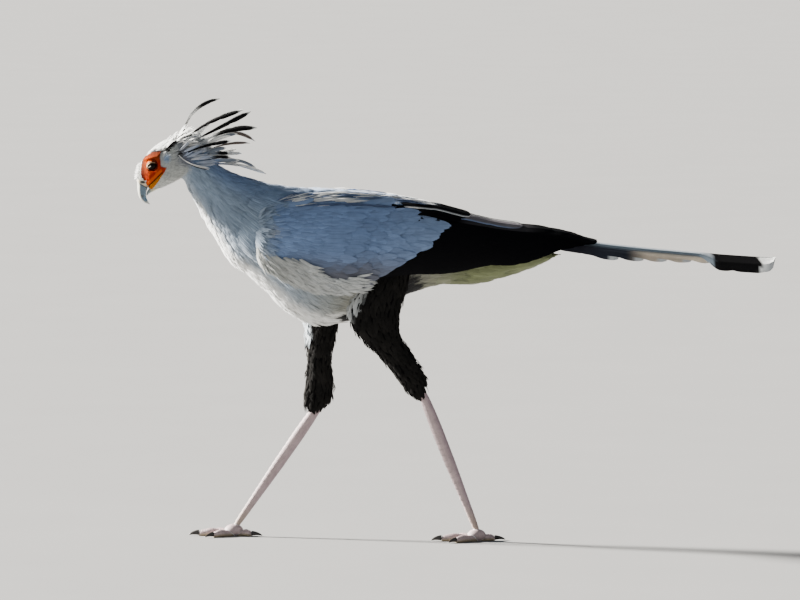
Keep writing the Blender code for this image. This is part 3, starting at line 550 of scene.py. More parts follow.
def face_tint(points):
    """The bare face: red, orange towards the forehead, yellow below the gape line."""
    x, z = points[..., 0], points[..., 2]
    made = mix(FACE_RED, FACE_ORANGE, 0.85 * smooth(-0.588, -0.604, x) * smooth(0.698, 0.738, z))
    made = mix(made, FACE_ORANGE, np.clip(0.05 + 0.6 * ripple(points, 520, 5), 0, 1))
    made = mix(made, FACE_ORANGE, 0.65 * smooth(0.738, 0.750, z))
    # Peach patches near the brow: painted highlight.
    face_highlight = smooth(0.0115, 0.004, np.hypot(x - FACE_HIGHLIGHT_SPOT[0], z - FACE_HIGHLIGHT_SPOT[1]))
    made = mix(made, PAINTED_FACE_HIGHLIGHT, 0.75 * face_highlight * smooth(-0.35, 0.25, ripple(points, 700, 12)))
    made = mix(made, GAPE_DARK, 0.35 * smooth(0.25, 0.6, ripple(points, 430, 7)))
    for at, up in DARK_SPOTS:
        made = mix(made, GAPE_DARK, 0.75 * smooth(0.0036, 0.0012, np.hypot(x - at, z - up)))
    above_gape = to_segment(x, z, *(GAPE + (-0.003, 0.003)))
    made = mix(made, FACE_ORANGE, 0.8 * smooth(0.0048, 0.001, above_gape))
    along = GAPE[1] - GAPE[0]
    below = ((x - GAPE[0, 0]) * along[1] - (z - GAPE[0, 1]) * along[0]) / np.linalg.norm(along)
    made = mix(made, GAPE_YELLOW, smooth(-0.0008, 0.0008, -below) * smooth(-0.566, -0.574, x))
    made = mix(made, GAPE_DARK, smooth(0.0013, 0.0005, to_segment(x, z, *GAPE)))
    # Brow and forehead meet the sun, so their paint is darker to look alike.
    brow = smooth(0.736, 0.752, z) + smooth(-0.598, -0.608, x) * smooth(0.696, 0.708, z)
    return made * (1 - 0.76 * np.clip(brow, 0, 1))[..., None]


def bare(points):
    """1 on the bare face, 0 on feathered skin."""
    edge = ripple(points, 1100, 4) * 0.0006
    return smooth(-0.0003, 0.0007, inside_by(FACE, points[..., 0], points[..., 2]) + edge)


print("bare skin at the eye", bare(EYE))

# %% [markdown]
# ## Markings of the body
# A secretary bird is pale blue-grey, whiter on throat and breast, darker on nape and wings, with black
# thighs. Feathers near each other differ a little, but that comes later, feather by feather. Here only
# the large areas are mixed, by how far along the body a point is and how near the back.

# %% Body markings
SIDE_GREY = paint(140, 158, 178)
BREAST_WHITE = paint(198, 206, 212)
BACK_BLUE = paint(120, 143, 174)
BELLY_CREAM = paint(152, 151, 138)
FLANK_WHITE = paint(198, 201, 200)
UNDERTAIL = paint(116, 123, 84)
WING_BLUE = paint(114, 139, 180)
WING_PALE = paint(138, 158, 188)
WING_GREY = paint(82, 80, 84)
SHOULDER_PALE = paint(168, 170, 170)
THIGH_BLACK = paint(9, 9, 11)
# Where the white down of the belly ends and the black of thighs and vent begins: height, and place along.
DOWN_EDGE = np.array([
    (0.4147, -0.2330), (0.4251, -0.2461), (0.4382, -0.2408),
    (0.4440, -0.2030), (0.4670, -0.1860), (0.5009, -0.1704),
])


def past_down(points):
    """1 behind the ragged edge of the belly's down, 0 in front of it."""
    x, z = points[..., 0], points[..., 2]
    edge = np.interp(z, DOWN_EDGE[:, 0], DOWN_EDGE[:, 1]) + 0.004 * ripple(points, 260, 24)
    return smooth(-0.003, 0.003, x - edge)


def body_tint(along, around, points):
    """Colours from the head to the undertail."""
    back = np.cos(2 * np.pi * around)
    made = mix(SIDE_GREY, NAPE_BLUE, smooth(0.1, 0.95, back) * smooth(19.5, 15.0, along))
    made = mix(made, BACK_BLUE, smooth(0.2, 0.9, back) * smooth(15.5, 18.5, along))
    white_from = np.interp(along, (14.0, 17.0, 20.0, 23.0), (-0.45, -0.35, -0.20, -0.10))
    white = smooth(0.0, 0.6, white_from - back) * smooth(25.0, 21.0, along)
    made = mix(made, BREAST_WHITE, 0.45 * white)
    made = mix(made, BELLY_CREAM, smooth(0.2, -0.5, back) * smooth(20.0, 23.0, along))
    # A white strip down the front of the breast: painted sunlight on its rim.
    painted_breast_rim_light = smooth(-0.72, -0.90, back) * smooth(14.3, 15.5, along) * smooth(24.5, 22.5, along)
    made = mix(made, WHITE, painted_breast_rim_light)
    made = mix(made, UNDERTAIL, smooth(24.6, 26.8, along))
    vent = smooth(0.520, 0.500, points[..., 2]) * smooth(-0.072, -0.088, points[..., 0])
    made = mix(made, THIGH_BLACK, past_down(points) * vent)
    return mix(made, head_tint(points), smooth(13.4, 12.2, along))


print("colour of the back", body_tint(18.0, 0.0, body(18.0, 0.0)))

# %% [markdown]
# ## Skin
# On the real bird feathers hide nearly all skin, yet it matters: it closes every gap between them and
# carries the bare face. It is one closed surface from the cere to the tail, with thighs and wings fused
# in, and it lies as far under the solids' surface as the coat is thick. The head's rings are a
# millimetre apart, so that brow, eye pit and gape line are real shape and not only shading.

# %% Face shape
SKIN_SIDES = 200
COAT_AT = np.array([5.0, 7.0, 9.0, 11.0, 13.0, 15.0, 18.0, 22.0, 26.0, 30.0, 32.0])
COAT_DEPTH = np.array([0.0004, 0.0010, 0.0016, 0.0024, 0.0045, 0.006, 0.008, 0.009, 0.008, 0.006, 0.002])
BROW = np.array([(-0.6035, 0.7425), (-0.5775, 0.7495)])
LIP = GAPE + (0.002, -0.002)
PIT_INNER = 0.0088
PIT_OUTER = 0.0132
PIT_FLOOR = 0.002


def coat_depth(along, around=0.0):
    """How deep the skin lies below the solids' surface."""
    return np.interp(along, COAT_AT, COAT_DEPTH)


def eye_axes(side, drop=0.0):
    """The direction in which an eye faces, forward along the face, and up, turned down by an angle."""
    facing = np.array([-math.sin(FACING), side * math.cos(FACING), 0])
    forward = np.array([-math.cos(FACING), -side * math.sin(FACING), 0])
    lowered = facing * math.cos(drop) - UP * math.sin(drop)
    return lowered, forward, UP * math.cos(drop) + facing * math.sin(drop)


def shape_face(points, out, mask):
    """Raises the brows, sinks the eye pits and the gape lines."""
    x, z = points[..., 0], points[..., 2]
    brow, gape, lip = (
        np.exp(-((to_segment(x, z, *line) / width) ** 2))
        for line, width in ((BROW, 0.0032), (GAPE, 0.0011), (LIP, 0.0016))
    )
    brow = brow * smooth(0.006, 0.014, abs(points[..., 1]))
    folds = 0.00035 * ripple(points, 1500, 8) + 0.0003 * ripple(points, 650, 9)
    rise = (0.0042 * brow + 0.0009 * lip - 0.0016 * gape + folds) * mask
    moved = points + out * rise[..., None]
    for side in SIDES.values():
        facing, forward, up = eye_axes(side)
        centre = EYE * (1, side, 1)
        offset = moved - centre
        height = offset @ facing
        radial = np.hypot(offset @ forward, offset @ up)
        same = (moved[..., 1] * side > 0.004) & (radial < 0.02)
        keep = smooth(PIT_INNER, PIT_OUTER, radial)
        sunk = np.minimum(height, PIT_FLOOR + (height - PIT_FLOOR) * keep)
        moved += np.where(same, sunk - height, 0)[..., None] * facing
    return moved


print("skin under the back", coat_depth(18.0), "m deep")

# %% Skin surface and material
HEAD_START = 5.36
HEAD_END = 12.0
along = np.concatenate([np.linspace(HEAD_START, HEAD_END, 126), np.linspace(HEAD_END, BODY_END, 110)[1:]])
around = np.arange(SKIN_SIDES) / SKIN_SIDES
aa, bb = np.meshgrid(along, around, indexing="ij")
points, out, _ = lay(body, aa, bb)
mask = bare(points) * (aa < 11.5)
depth = coat_depth(aa) * (1 - mask)
skin_tint = mix(body_tint(aa, bb, points), face_tint(points), mask)
skin_rings = shape_face(points - out * depth[..., None], out, mask)

skin_finish, tree, shader = new_finish("skin", 0.65, Specular_IOR_Level=0.03)
where = object_place(tree)
cells = add(tree, "ShaderNodeTexVoronoi", {"Vector": where, "Scale": 620.0}, feature="DISTANCE_TO_EDGE")
fine = noise(tree, where, 900.0, 3.0, 0.6)
creases = spread(tree, cells.outputs[0], 0.0, 0.25, 0.0, 1.0)
flush = spread(tree, fine, 0.3, 0.7, 0.0, 0.22)
colour = blend_colour(tree, flush, tint_of(tree), paint(120, 22, 6), "MULTIPLY")
tree.links.new(colour, shader.inputs["Base Color"])
height = math_node(tree, "ADD", math_node(tree, "MULTIPLY", creases, 0.6), fine)
bump(tree, shader, height, 0.5, 0.0006)
print("skin rings", skin_rings.shape[:2])


# %% Joining closed pieces
SOLVER = "MANIFOLD"


def baked_mesh(made):
    """The mesh of an object with its modifiers applied, which are then removed."""
    graph = bpy.context.evaluated_depsgraph_get()
    mesh = bpy.data.meshes.new_from_object(made.evaluated_get(graph))
    made.modifiers.clear()
    made.data = mesh
    return made


def fuse(made, others):
    """One closed surface from several, by a Boolean union."""
    group = bpy.data.collections.new(made.name + "_parts")
    bpy.context.scene.collection.children.link(group)
    for other in others:
        bpy.context.scene.collection.objects.unlink(other)
        group.objects.link(other)
    union = made.modifiers.new("Union", "BOOLEAN")
    union.operation = "UNION"
    union.operand_type = "COLLECTION"
    union.collection = group
    union.solver = SOLVER
    baked_mesh(made)
    for other in others:
        bpy.data.objects.remove(other)
    bpy.data.collections.remove(group)
    return made


print("solver of unions", SOLVER)

# %% Skin
THIGH_COAT = 0.006
WING_COAT = 0.0055
WING_DEPTH = 0.022
WING_SKIN_END = 7.0
skin = loft_piece("skin", [(skin_rings, around, skin_tint)], skin_finish, 180)
inner = []
for name, side in SIDES.items():
    rows = THIGHS[name]
    thigh = tube(rows, side * HIP)
    aa, bb = np.meshgrid(np.linspace(0, len(rows) - 1, 40), np.arange(40) / 40, indexing="ij")
    points, out, _ = lay(thigh, aa, bb, -1)
    rings = points - out * THIGH_COAT
    inner.append(loft_piece("thigh_skin_" + name, [(rings, bb[0], JET)], skin_finish, 180))
    face = wing_face(side)
    places = np.linspace(0.15, WING_SKIN_END, 40)
    aa, bb = np.meshgrid(places, np.linspace(0.03, 0.97, 22), indexing="ij")
    points, out, _ = lay(face, aa, bb, side)
    thin = smooth(5.0, WING_SKIN_END, aa)[..., None]
    outer = points - out * (WING_COAT + 0.003 * thin)
    back = points - out * (WING_DEPTH - 0.012 * thin)
    rings = np.concatenate([outer, back[:, ::-1]], 1)
    rings[..., 1] = side * np.maximum(side * rings[..., 1], 0.001)
    across = np.zeros(rings.shape[1])
    inner.append(loft_piece("wing_skin_" + name, [(rings, across, WING_BLUE)], skin_finish, 180))

fuse(skin, inner)
while skin.data.uv_layers:
    skin.data.uv_layers.remove(skin.data.uv_layers[0])
skin.data.shade_smooth()
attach(skin, "root")
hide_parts("head", "nape_crest", "neck", "torso", "rump", "thigh_left", "thigh_right")
print("skin faces", len(skin.data.polygons))

# %% [markdown]
# ## Eyes and lids
# The eye is a wet ball with a dark brown iris. Its lids are a thin shell on the same ball with an
# almond opening, thicker at the rim, so they fit the eye at every point. Modelling the opening in the
# angle seen from the ball's centre keeps the gap even, which pushing a flat ring onto a ball wouldn't.

# %% Eye sizes and material
LID_OPEN_WIDE = math.radians(53)
LID_OPEN_UP = math.radians(34)
LID_OPEN_DOWN = math.radians(35)
LID_TILT = math.radians(-22)
LID_DROP = math.radians(12)
LID_CORNER = 1.65
LID_THICK = 0.0011
LID_GAP = 0.0002
LID_EDGE = 1.5
PUPIL = math.radians(19)
IRIS = math.radians(42)
EYE_SIDES = 72
PUPIL_BLACK = paint(5, 4, 4)
IRIS_BROWN = paint(24, 14, 11)
# The painted glint's colour.
PAINTED_EYE_GLINT = paint(250, 238, 222)
# A painted glint, a pale streak in the eye's front corner: its ends, forward and up from the ball's centre.
EYE_GLINT_STREAK = np.array([(0.0100, -0.0056), (0.0030, -0.0016)])

eye_finish, tree, shader = new_finish(
    "wet_eye", 0.12, Specular_IOR_Level=0.04, Coat_Weight=0.04, Coat_Roughness=0.03
)
streaks = noise(tree, object_place(tree), 900.0, 3.0)
colour = blend_colour(tree, spread(tree, streaks, 0.3, 0.7, 0.0, 0.5), tint_of(tree), paint(20, 10, 6))
tree.links.new(colour, shader.inputs["Base Color"])
print("eye material", eye_finish.name)


# %% Eyes and lids
def lid_opening(turn):
    """The almond opening's angle from the eye's axis, all the way round, with its corners drawn out."""
    tilted = turn - LID_TILT
    tall = np.where(np.sin(tilted) > 0, LID_OPEN_UP, LID_OPEN_DOWN)
    wide = (abs(np.cos(tilted)) / LID_OPEN_WIDE) ** LID_CORNER
    return (wide + (abs(np.sin(tilted)) / tall) ** LID_CORNER) ** (-1 / LID_CORNER)


for name, side in SIDES.items():
    facing, forward, up = eye_axes(side)
    centre = EYE * (1, side, 1)
    turn = np.arange(EYE_SIDES) / EYE_SIDES * 2 * np.pi

    def on_ball(angle, radius):
        """Points at an angle from the eye's axis, all the way round."""
        ring = np.cos(turn)[:, None] * forward + np.sin(turn)[:, None] * up
        return centre + radius * (np.cos(angle)[:, None] * facing + np.sin(angle)[:, None] * ring)

    angles = np.linspace(0.01, math.pi - 0.01, 64)
    ball = np.stack([on_ball(np.full(EYE_SIDES, angle), EYE_RADIUS) for angle in angles])
    iris = smooth(PUPIL - 0.03, PUPIL + 0.03, angles) * smooth(IRIS + 0.05, IRIS - 0.05, angles)
    tint = mix(PUPIL_BLACK, IRIS_BROWN, iris)[:, None, :] * np.ones((1, EYE_SIDES, 1))
    offset = ball - centre
    # A pale streak in the eye's front corner: painted glint.
    glint_and_lid_fold = smooth(0.00125, 0.00065, to_segment(offset @ forward, offset @ up, *EYE_GLINT_STREAK))
    tint = mix(tint, PAINTED_EYE_GLINT, glint_and_lid_fold * (offset @ facing > 0))
    eye = loft_piece("eyeball_" + name, [(ball, turn / 7, tint)], eye_finish, 180)
    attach(eye, "root")
    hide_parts("eye_" + name)

    facing, forward, up = eye_axes(side, LID_DROP)
    opening = lid_opening(turn)
    rings, tints = [], []
    # The inner side, from the edge of the shell to the opening, and then the outer side back again.
    for part in np.linspace(1, 0, 8):
        rings.append(on_ball(opening + (LID_EDGE - opening) * part, EYE_RADIUS + LID_GAP))
        tints.append(np.broadcast_to(GAPE_DARK, (EYE_SIDES, 3)))
    reach = 0.16 + 0.34 * np.clip(np.cos(turn - 0.1), 0, 1)
    for part in np.linspace(0, 1, 16):
        # Folds of the lid's skin, in shape only.
        glint_and_lid_fold = 0.0004 * np.sin(part * 19) * (1 - part)
        rim = 0.0005 * math.exp(-((part / 0.10) ** 2))
        rings.append(on_ball(opening + (LID_EDGE - opening) * part, EYE_RADIUS + LID_THICK + rim + glint_and_lid_fold))
        # A cream arc on the lid's upper front: painted highlight.
        lid_highlight = smooth(-0.10, 0.35, np.cos(turn - 0.85)) * smooth(reach + 0.14, reach - 0.06, part)
        shade = mix(mix(FACE_RED, FACE_ORANGE, part), PAINTED_LID_HIGHLIGHT, lid_highlight)
        tints.append(mix(shade, GAPE_DARK, np.full(EYE_SIDES, 0.85 if part == 0 else 0.0)))
    lids = loft_piece("lids_" + name, [(np.stack(rings), turn / 7, np.stack(tints))], skin_finish, 180)
    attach(lids, "root")
print("eye centre", EYE)

# %% [markdown]
# ## Bill
# Short, deep and hooked, blue-grey horn with a painted highlight along its ridge, and a soft cream cere at
# its base with a slit of a nostril. It comes from the same sections as the head, so they meet without a
# step.
# The growth lines of the horn are shading only, because they are far finer than a millimetre.

# %% Bill
HORN = paint(84, 110, 128)
HORN_DARK = paint(66, 76, 80)
# Near white: the pale horn of the hook's tip, and a painted highlight along the ridge.
HORN_PALE_AND_HIGHLIGHT = paint(238, 236, 224)
CERE = paint(240, 228, 200)
JAW_CREAM = paint(196, 190, 160)
JAW_GREY = paint(122, 136, 136)
NOSTRIL = np.array([-0.6088, 0.6985])
NOSTRIL_LONG = 0.0056
NOSTRIL_TALL = 0.0026
NOSTRIL_DEPTH = 0.0018
NOSTRIL_TURN = math.radians(-6)
CERE_SWELL = 0.0007
HOOK_SPOT = np.array([-0.6104, 0.6706])

horn_finish, tree, shader = new_finish("horn", 0.28, Coat_Weight=0.25, Coat_Roughness=0.15)
where = object_place(tree)
growth = noise(tree, where, 260.0, 4.0, 1.2)
lines = spread(tree, growth, 0.35, 0.7, 0.0, 0.35)
colour = blend_colour(tree, lines, tint_of(tree), paint(70, 72, 70), "MULTIPLY")
tree.links.new(colour, shader.inputs["Base Color"])
bump(tree, shader, growth, 0.25, 0.0004)

aa, bb = np.meshgrid(np.linspace(0.0, 5.5, 150), np.arange(96) / 96, indexing="ij")
points, out, _ = lay(body, aa, bb)
x, z = points[..., 0], points[..., 2]
ahead, above = x - NOSTRIL[0], z - NOSTRIL[1]
level = ahead * math.cos(NOSTRIL_TURN) + above * math.sin(NOSTRIL_TURN)
upright = above * math.cos(NOSTRIL_TURN) - ahead * math.sin(NOSTRIL_TURN)
slit = smooth(1.15, 0.75, np.hypot(level / NOSTRIL_LONG, upright / NOSTRIL_TALL))
cere = smooth(4.0, 4.35, aa)
swell = CERE_SWELL * cere * smooth(5.5, 5.0, aa)
points = points + out * (swell - NOSTRIL_DEPTH * slit)[..., None]
back = np.cos(2 * np.pi * bb)
spot = smooth(0.0042, 0.0012, np.hypot(x - HOOK_SPOT[0], z - HOOK_SPOT[1]))
tint = mix(HORN, HORN_DARK, 0.85 * spot)
# Along the ridge: painted highlight.
tint = mix(tint, HORN_PALE_AND_HIGHLIGHT, smooth(0.34, 0.62, back))
tint = mix(tint, HORN_PALE_AND_HIGHLIGHT, 0.6 * smooth(1.3, 0.5, aa))
tint = mix(tint, CERE, cere)
# A white line along the cere's top: painted highlight.
tint = mix(tint, WHITE, 0.9 * smooth(0.700, 0.706, z) * cere)
tint = mix(tint, GAPE_YELLOW, 0.6 * cere * smooth(-0.2, -0.8, back))
tint = mix(tint, JET, 0.95 * np.exp(-(((aa - 4.12) / 0.17) ** 2)) * smooth(0.80, 0.5, back))
# The sunken nostril is painted black: painted shade in its opening.
tint = mix(tint, JET, slit)
bill = loft_piece("bill", [(points, bb[0], tint)], horn_finish, 180)
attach(bill, "root")
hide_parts("bill_upper")
print("bill rings", len(points))

# %% Lower bill
LOWER_BILL = np.array([
    (-0.5800, 0.7000, -0.5730, 0.6890, 0.0100),
    (-0.5915, 0.6900, -0.5870, 0.6805, 0.0082),
    (-0.5975, 0.6845, -0.5945, 0.6768, 0.0055),
    (-0.6010, 0.6790, -0.5995, 0.6728, 0.0032),
    (-0.6022, 0.6735, -0.6015, 0.6708, 0.0010),
])
aa, bb = np.meshgrid(np.linspace(0, 4, 48), np.arange(40) / 40, indexing="ij")
points, out, _ = lay(tube(LOWER_BILL), aa, bb, -1)
tint = mix(JAW_CREAM, JAW_GREY, smooth(0.8, 2.2, aa))
jaw = loft_piece("lower_bill", [(points, bb[0], tint)], horn_finish, 180)
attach(jaw, "root")
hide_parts("bill_lower")
print("lower bill rings", len(points))

# %% [markdown]
# ## Feather material
# A feather is a shaft with barbs slanting off it on both sides. The second map says how far across and
# how far along a feather each point is, so fine slanting lines can follow every one of them. Each
# feather already has its own tint, so one material serves the whole coat.

# %% Feather materials
def feather_finish(name, roughness, barbs, fleck, **settings):
    """A finish with barbs that slant off a shaft, and soft lighter and darker stretches."""
    made, tree, shader = new_finish(name, roughness, **settings)
    spot = add(tree, "ShaderNodeUVMap", uv_map="Vane").outputs[0]
    split = add(tree, "ShaderNodeSeparateXYZ", {0: spot})
    off = math_node(tree, "ABSOLUTE", math_node(tree, "SUBTRACT", split.outputs[0], 0.5))
    outwards = math_node(tree, "MULTIPLY", off, barbs * 0.35)
    slant = math_node(tree, "SUBTRACT", math_node(tree, "MULTIPLY", split.outputs[1], barbs), outwards)
    where = object_place(tree)
    soft = noise(tree, where, 420.0, 3.0)
    line = math_node(tree, "SINE", math_node(tree, "ADD", slant, math_node(tree, "MULTIPLY", soft, 5.0)))
    shaft = spread(tree, off, 0.0, 0.07, 1.0, 0.0)
    tone = noise(tree, where, 60.0, 3.0)
    shade = spread(tree, line, -1.0, 1.0, 1.0 - fleck, 1.0)
    shade = math_node(tree, "MULTIPLY", shade, spread(tree, tone, 0.3, 0.7, 0.9, 1.08))
    shade = math_node(tree, "MULTIPLY", shade, spread(tree, shaft, 0.0, 1.0, 1.0, 1.0 - 2.2 * fleck))
    tree.links.new(scaled(tree, tint_of(tree), shade), shader.inputs["Base Color"])
    bump(tree, shader, math_node(tree, "ADD", line, shaft), 0.35, 0.0003)
    return made


plumage_finish = feather_finish("plumage", 0.85, 90.0, 0.10, Sheen_Weight=0.25, Sheen_Roughness=0.5)
quill_finish = feather_finish("quills", 0.65, 420.0, 0.12, Specular_IOR_Level=0.07)
black_finish = feather_finish("black_plumage", 0.85, 90.0, 0.15, Specular_IOR_Level=0.05)
print("feather materials", plumage_finish.name, quill_finish.name, black_finish.name)

# %% [markdown]
# ## Small feathers
# Body feathers repeat by the thousand and differ little, so each is a copy of a template. Four forms
# are enough: a rounded vane for the back, a broad one for the wing's rows, a loose tuft of three blades
# for crown and thighs, and a fine lock of two for head, neck and breast. Each blade is a closed,
# three-sided loft, thin and bent so that its tip comes down along the body.

# %% Feather forms
def blade(length, half_width, shape, yaw=0.0, bend=0.14, side_step=0.0, ridge=0.16, stop=1.0):
    """Rings of a thin three-sided vane along +Y, which leans by yaw and bends down towards its tip."""
    along = np.linspace(0, 1, len(shape)) ** 0.85 * stop
    rings = []
    for part, share in zip(along, shape):
        w = half_width * share
        centre = np.array([side_step + math.sin(yaw) * part * length, math.cos(yaw) * part * length, 0])
        drop = -bend * part**2 * length
        rise = ridge * w + 0.004
        rings.append(centre + np.array([(-w, 0, drop), (0, 0, drop + rise), (w, 0, drop)]))
    return np.array(rings)


def feather_form(name, blades, finish):
    """A template feather of length 1, out of the scene, to be instanced."""
    made = loft_piece(name, [(rings, (0.0, 0.5, 1.0), np.ones(3)) for rings in blades], finish, 60)
    made.data.attributes.remove(made.data.attributes["tint"])
    bpy.context.scene.collection.objects.unlink(made)
    return made


ROUNDED = (0.35, 0.85, 1.0, 0.85, 0.30)
BROAD = (0.30, 0.62, 0.84, 0.95, 1.0, 1.0, 0.94, 0.80, 0.56, 0.22)
POINTED = (0.5, 1.0, 0.75, 0.10)
round_vane = feather_form("round_vane", [blade(1.0, 0.5, ROUNDED)], plumage_finish)
broad_vane = feather_form("broad_vane", [blade(1.0, 0.5, BROAD, bend=0.10, ridge=0.05)], plumage_finish)
loose_tuft = feather_form(
    "loose_tuft",
    [
        blade(0.92, 0.24, POINTED, -0.22, 0.10),
        blade(1.0, 0.26, POINTED, 0.03, 0.14),
        blade(0.85, 0.24, POINTED, 0.27, 0.08),
    ],
    plumage_finish,
)
fine_lock = feather_form(
    "fine_lock",
    [blade(1.0, 0.30, POINTED, -0.06, 0.12, -0.12), blade(0.88, 0.28, POINTED, 0.10, 0.07, 0.14)],
    plumage_finish,
)
print("points of a fine lock", len(fine_lock.data.vertices))

# %% [markdown]
# ## One tree for every coat
# Hair curves or a particle system would also cover a body, but they leave no closed mesh. This tree
# strews roots over a surface, never closer than a spacing, lays a template feather on each one and
# makes them all real mesh. Its named inputs let one tree serve crown, breast, thighs and wings.

# %% Feather tree
SOCKETS = {
    "Surface": "Geometry", "Feather": "Object", "Spacing": "Float", "Scatter": "Bool", "Seed": "Int",
    "Patch": "Float", "Unrest": "Float", "Finish": "Material",
}


def coat_tree():
    """Scatters a feather over a surface, or sets one on each point, laid by the surface's attributes."""
    tree = bpy.data.node_groups.new("feather_coat", "GeometryNodeTree")
    for label, kind in SOCKETS.items():
        tree.interface.new_socket(label, in_out="INPUT", socket_type="NodeSocket" + kind)
    tree.interface.new_socket("Coat", in_out="OUTPUT", socket_type="NodeSocketGeometry")
    given = add(tree, "NodeGroupInput").outputs

    def step(kind, inputs, output=0, **settings):
        return add(tree, kind, inputs, **settings).outputs[output]

    def named(label, kind="FLOAT_VECTOR"):
        return step("GeometryNodeInputNamedAttribute", {"Name": label}, "Attribute", data_type=kind)

    def chance(low, high, salt):
        limits = {"Min": low, "Max": high, "Seed": math_node(tree, "ADD", given["Seed"], float(salt))}
        return step("FunctionNodeRandomValue", limits, "Value", data_type="FLOAT")

    def stored(geometry, label, value, kind, domain):
        inputs = {"Geometry": geometry, "Name": label, "Value": value}
        return step("GeometryNodeStoreNamedAttribute", inputs, data_type=kind, domain=domain)

    # Roots: strewn over the surface and never closer than the spacing, or the mesh's own points.
    area = math_node(tree, "MULTIPLY", given["Spacing"], given["Spacing"])
    strewing = {
        "Mesh": given["Surface"], "Distance Min": given["Spacing"],
        "Density Max": math_node(tree, "DIVIDE", 1.0, area), "Density Factor": named("keep", "FLOAT"),
        "Seed": given["Seed"],
    }
    strewn = step("GeometryNodeDistributePointsOnFaces", strewing, "Points", distribute_method="POISSON")
    ready = step("GeometryNodeMeshToPoints", {"Mesh": given["Surface"]})
    choice = {"Switch": given["Scatter"], "False": ready, "True": strewn}
    roots = step("GeometryNodeSwitch", choice, input_type="GEOMETRY")
    tone = scaled(tree, named("tint", "FLOAT_COLOR"), chance(0.86, 1.11, 1))
    toned = stored(roots, "tint", tone, "FLOAT_COLOR", "POINT")

    # Directions: the vane faces outwards and points back, and is turned a little by chance.
    axes = {"Primary Axis": named("out"), "Secondary Axis": named("lie")}
    laid = step("FunctionNodeAxesToRotation", axes, primary_axis="Z", secondary_axis="Y")
    turns = {k: math_node(tree, "MULTIPLY", chance(-1.0, 1.0, k + 2), given["Unrest"]) for k in range(3)}
    wobble = step("FunctionNodeEulerToRotation", {0: step("ShaderNodeCombineXYZ", turns)})
    turning = {"Rotation": laid, "Rotate By": wobble}
    turned = step("FunctionNodeRotateRotation", turning, rotation_space="LOCAL")
    size = scaled(tree, named("size"), chance(0.85, 1.15, 5))
    form = step("GeometryNodeObjectInfo", {"Object": given["Feather"]}, "Geometry")
    placing = {"Points": toned, "Instance": form, "Rotation": turned, "Scale": size}
    placed = step("GeometryNodeInstanceOnPoints", placing)
    solid = step("GeometryNodeRealizeInstances", {"Geometry": placed})

    # The baked map: each feather is a small patch at its root's place.
    across = step("ShaderNodeVectorMath", {0: named("Vane"), 1: (0.5, 0.5, 0)}, operation="SUBTRACT")
    small = scaled(tree, across, given["Patch"])
    patch = step("ShaderNodeVectorMath", {0: named("place"), 1: small}, operation="ADD")
    mapped = stored(solid, "OFBake", patch, "FLOAT2", "CORNER")
    dressed = step("GeometryNodeSetMaterial", {"Geometry": mapped, "Material": given["Finish"]})
    add(tree, "NodeGroupOutput", {0: dressed})
    return tree


COAT = coat_tree()
print("feather tree nodes", len(COAT.nodes))

# %% Growing a coat
PATCH = 0.003
INPUTS = {item.name: item.identifier for item in COAT.interface.items_tree if item.in_out == "INPUT"}
# What the tree reads at each root: its kind, and the name under which values are written.
FIELDS = {key: ("FLOAT_VECTOR", "vector") for key in ("out", "lie", "size", "place")}
FIELDS |= {"tint": ("FLOAT_COLOR", "color"), "keep": ("FLOAT", "value")}


def side_by_side(*parts):
    """Numbers and arrays put together as vectors."""
    return np.stack(np.broadcast_arrays(*parts), -1)


def grow_coat(name, roots, out, lie, size, place, tint, form, finish=plumage_finish, seed=0, unrest=0.12,
              keep=1.0, faces=(), spacing=1.0):
    """Runs the tree on a surface's mesh, or on loose points, and keeps the feathers as a plain mesh."""
    mesh = bpy.data.meshes.new(name)
    mesh.from_pydata(roots.reshape(-1, 3).tolist(), [], faces)
    opaque = np.ones((*out.shape[:-1], 1))
    tint = np.concatenate([np.broadcast_to(tint, out.shape), opaque], -1)
    for key, values in zip(FIELDS, (out, lie, size, place, tint, np.asarray(keep)[..., None])):
        kind, written = FIELDS[key]
        full = np.broadcast_to(values, (*out.shape[:-1], np.shape(values)[-1]))
        layer = mesh.attributes.new(key, kind, "POINT")
        layer.data.foreach_set(written, full.astype(np.float32).ravel())
    made = bpy.data.objects.new(name, mesh)
    bpy.context.scene.collection.objects.link(made)
    growth = made.modifiers.new("Feathers", "NODES")
    growth.node_group = COAT
    values = {
        "Feather": form, "Spacing": spacing, "Scatter": len(faces) > 0, "Seed": seed, "Patch": PATCH,
        "Unrest": unrest, "Finish": finish,
    }
    for key, value in values.items():
        growth[INPUTS[key]] = value
    baked_mesh(made)
    for key in FIELDS:
        if key != "tint" and key in made.data.attributes:
            made.data.attributes.remove(made.data.attributes[key])
    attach(made, "root")
    print(name, len(made.data.polygons), "faces")
    return made


def grid_faces(rows, columns):
    """Quads of a grid of points."""
    made = []
    for i in range(rows - 1):
        for j in range(columns - 1):
            here, there = i * columns + j, (i + 1) * columns + j
            made.append((here, here + 1, there + 1, there))
    return made


def lifted(out, lie, lift):
    """The direction of a feather that rises from its root by an angle, and the way its face looks."""
    lift = np.asarray(lift)[..., None]
    return out * np.cos(lift) - lie * np.sin(lift), lie * np.cos(lift) + out * np.sin(lift)


def everywhere(aa, bb, points):
    return np.ones(aa.shape)


def half_turn(side, near, far, steps):
    """A range of turns round the body on one side of the back."""
    return (*sorted((side * near, side * far)), steps)


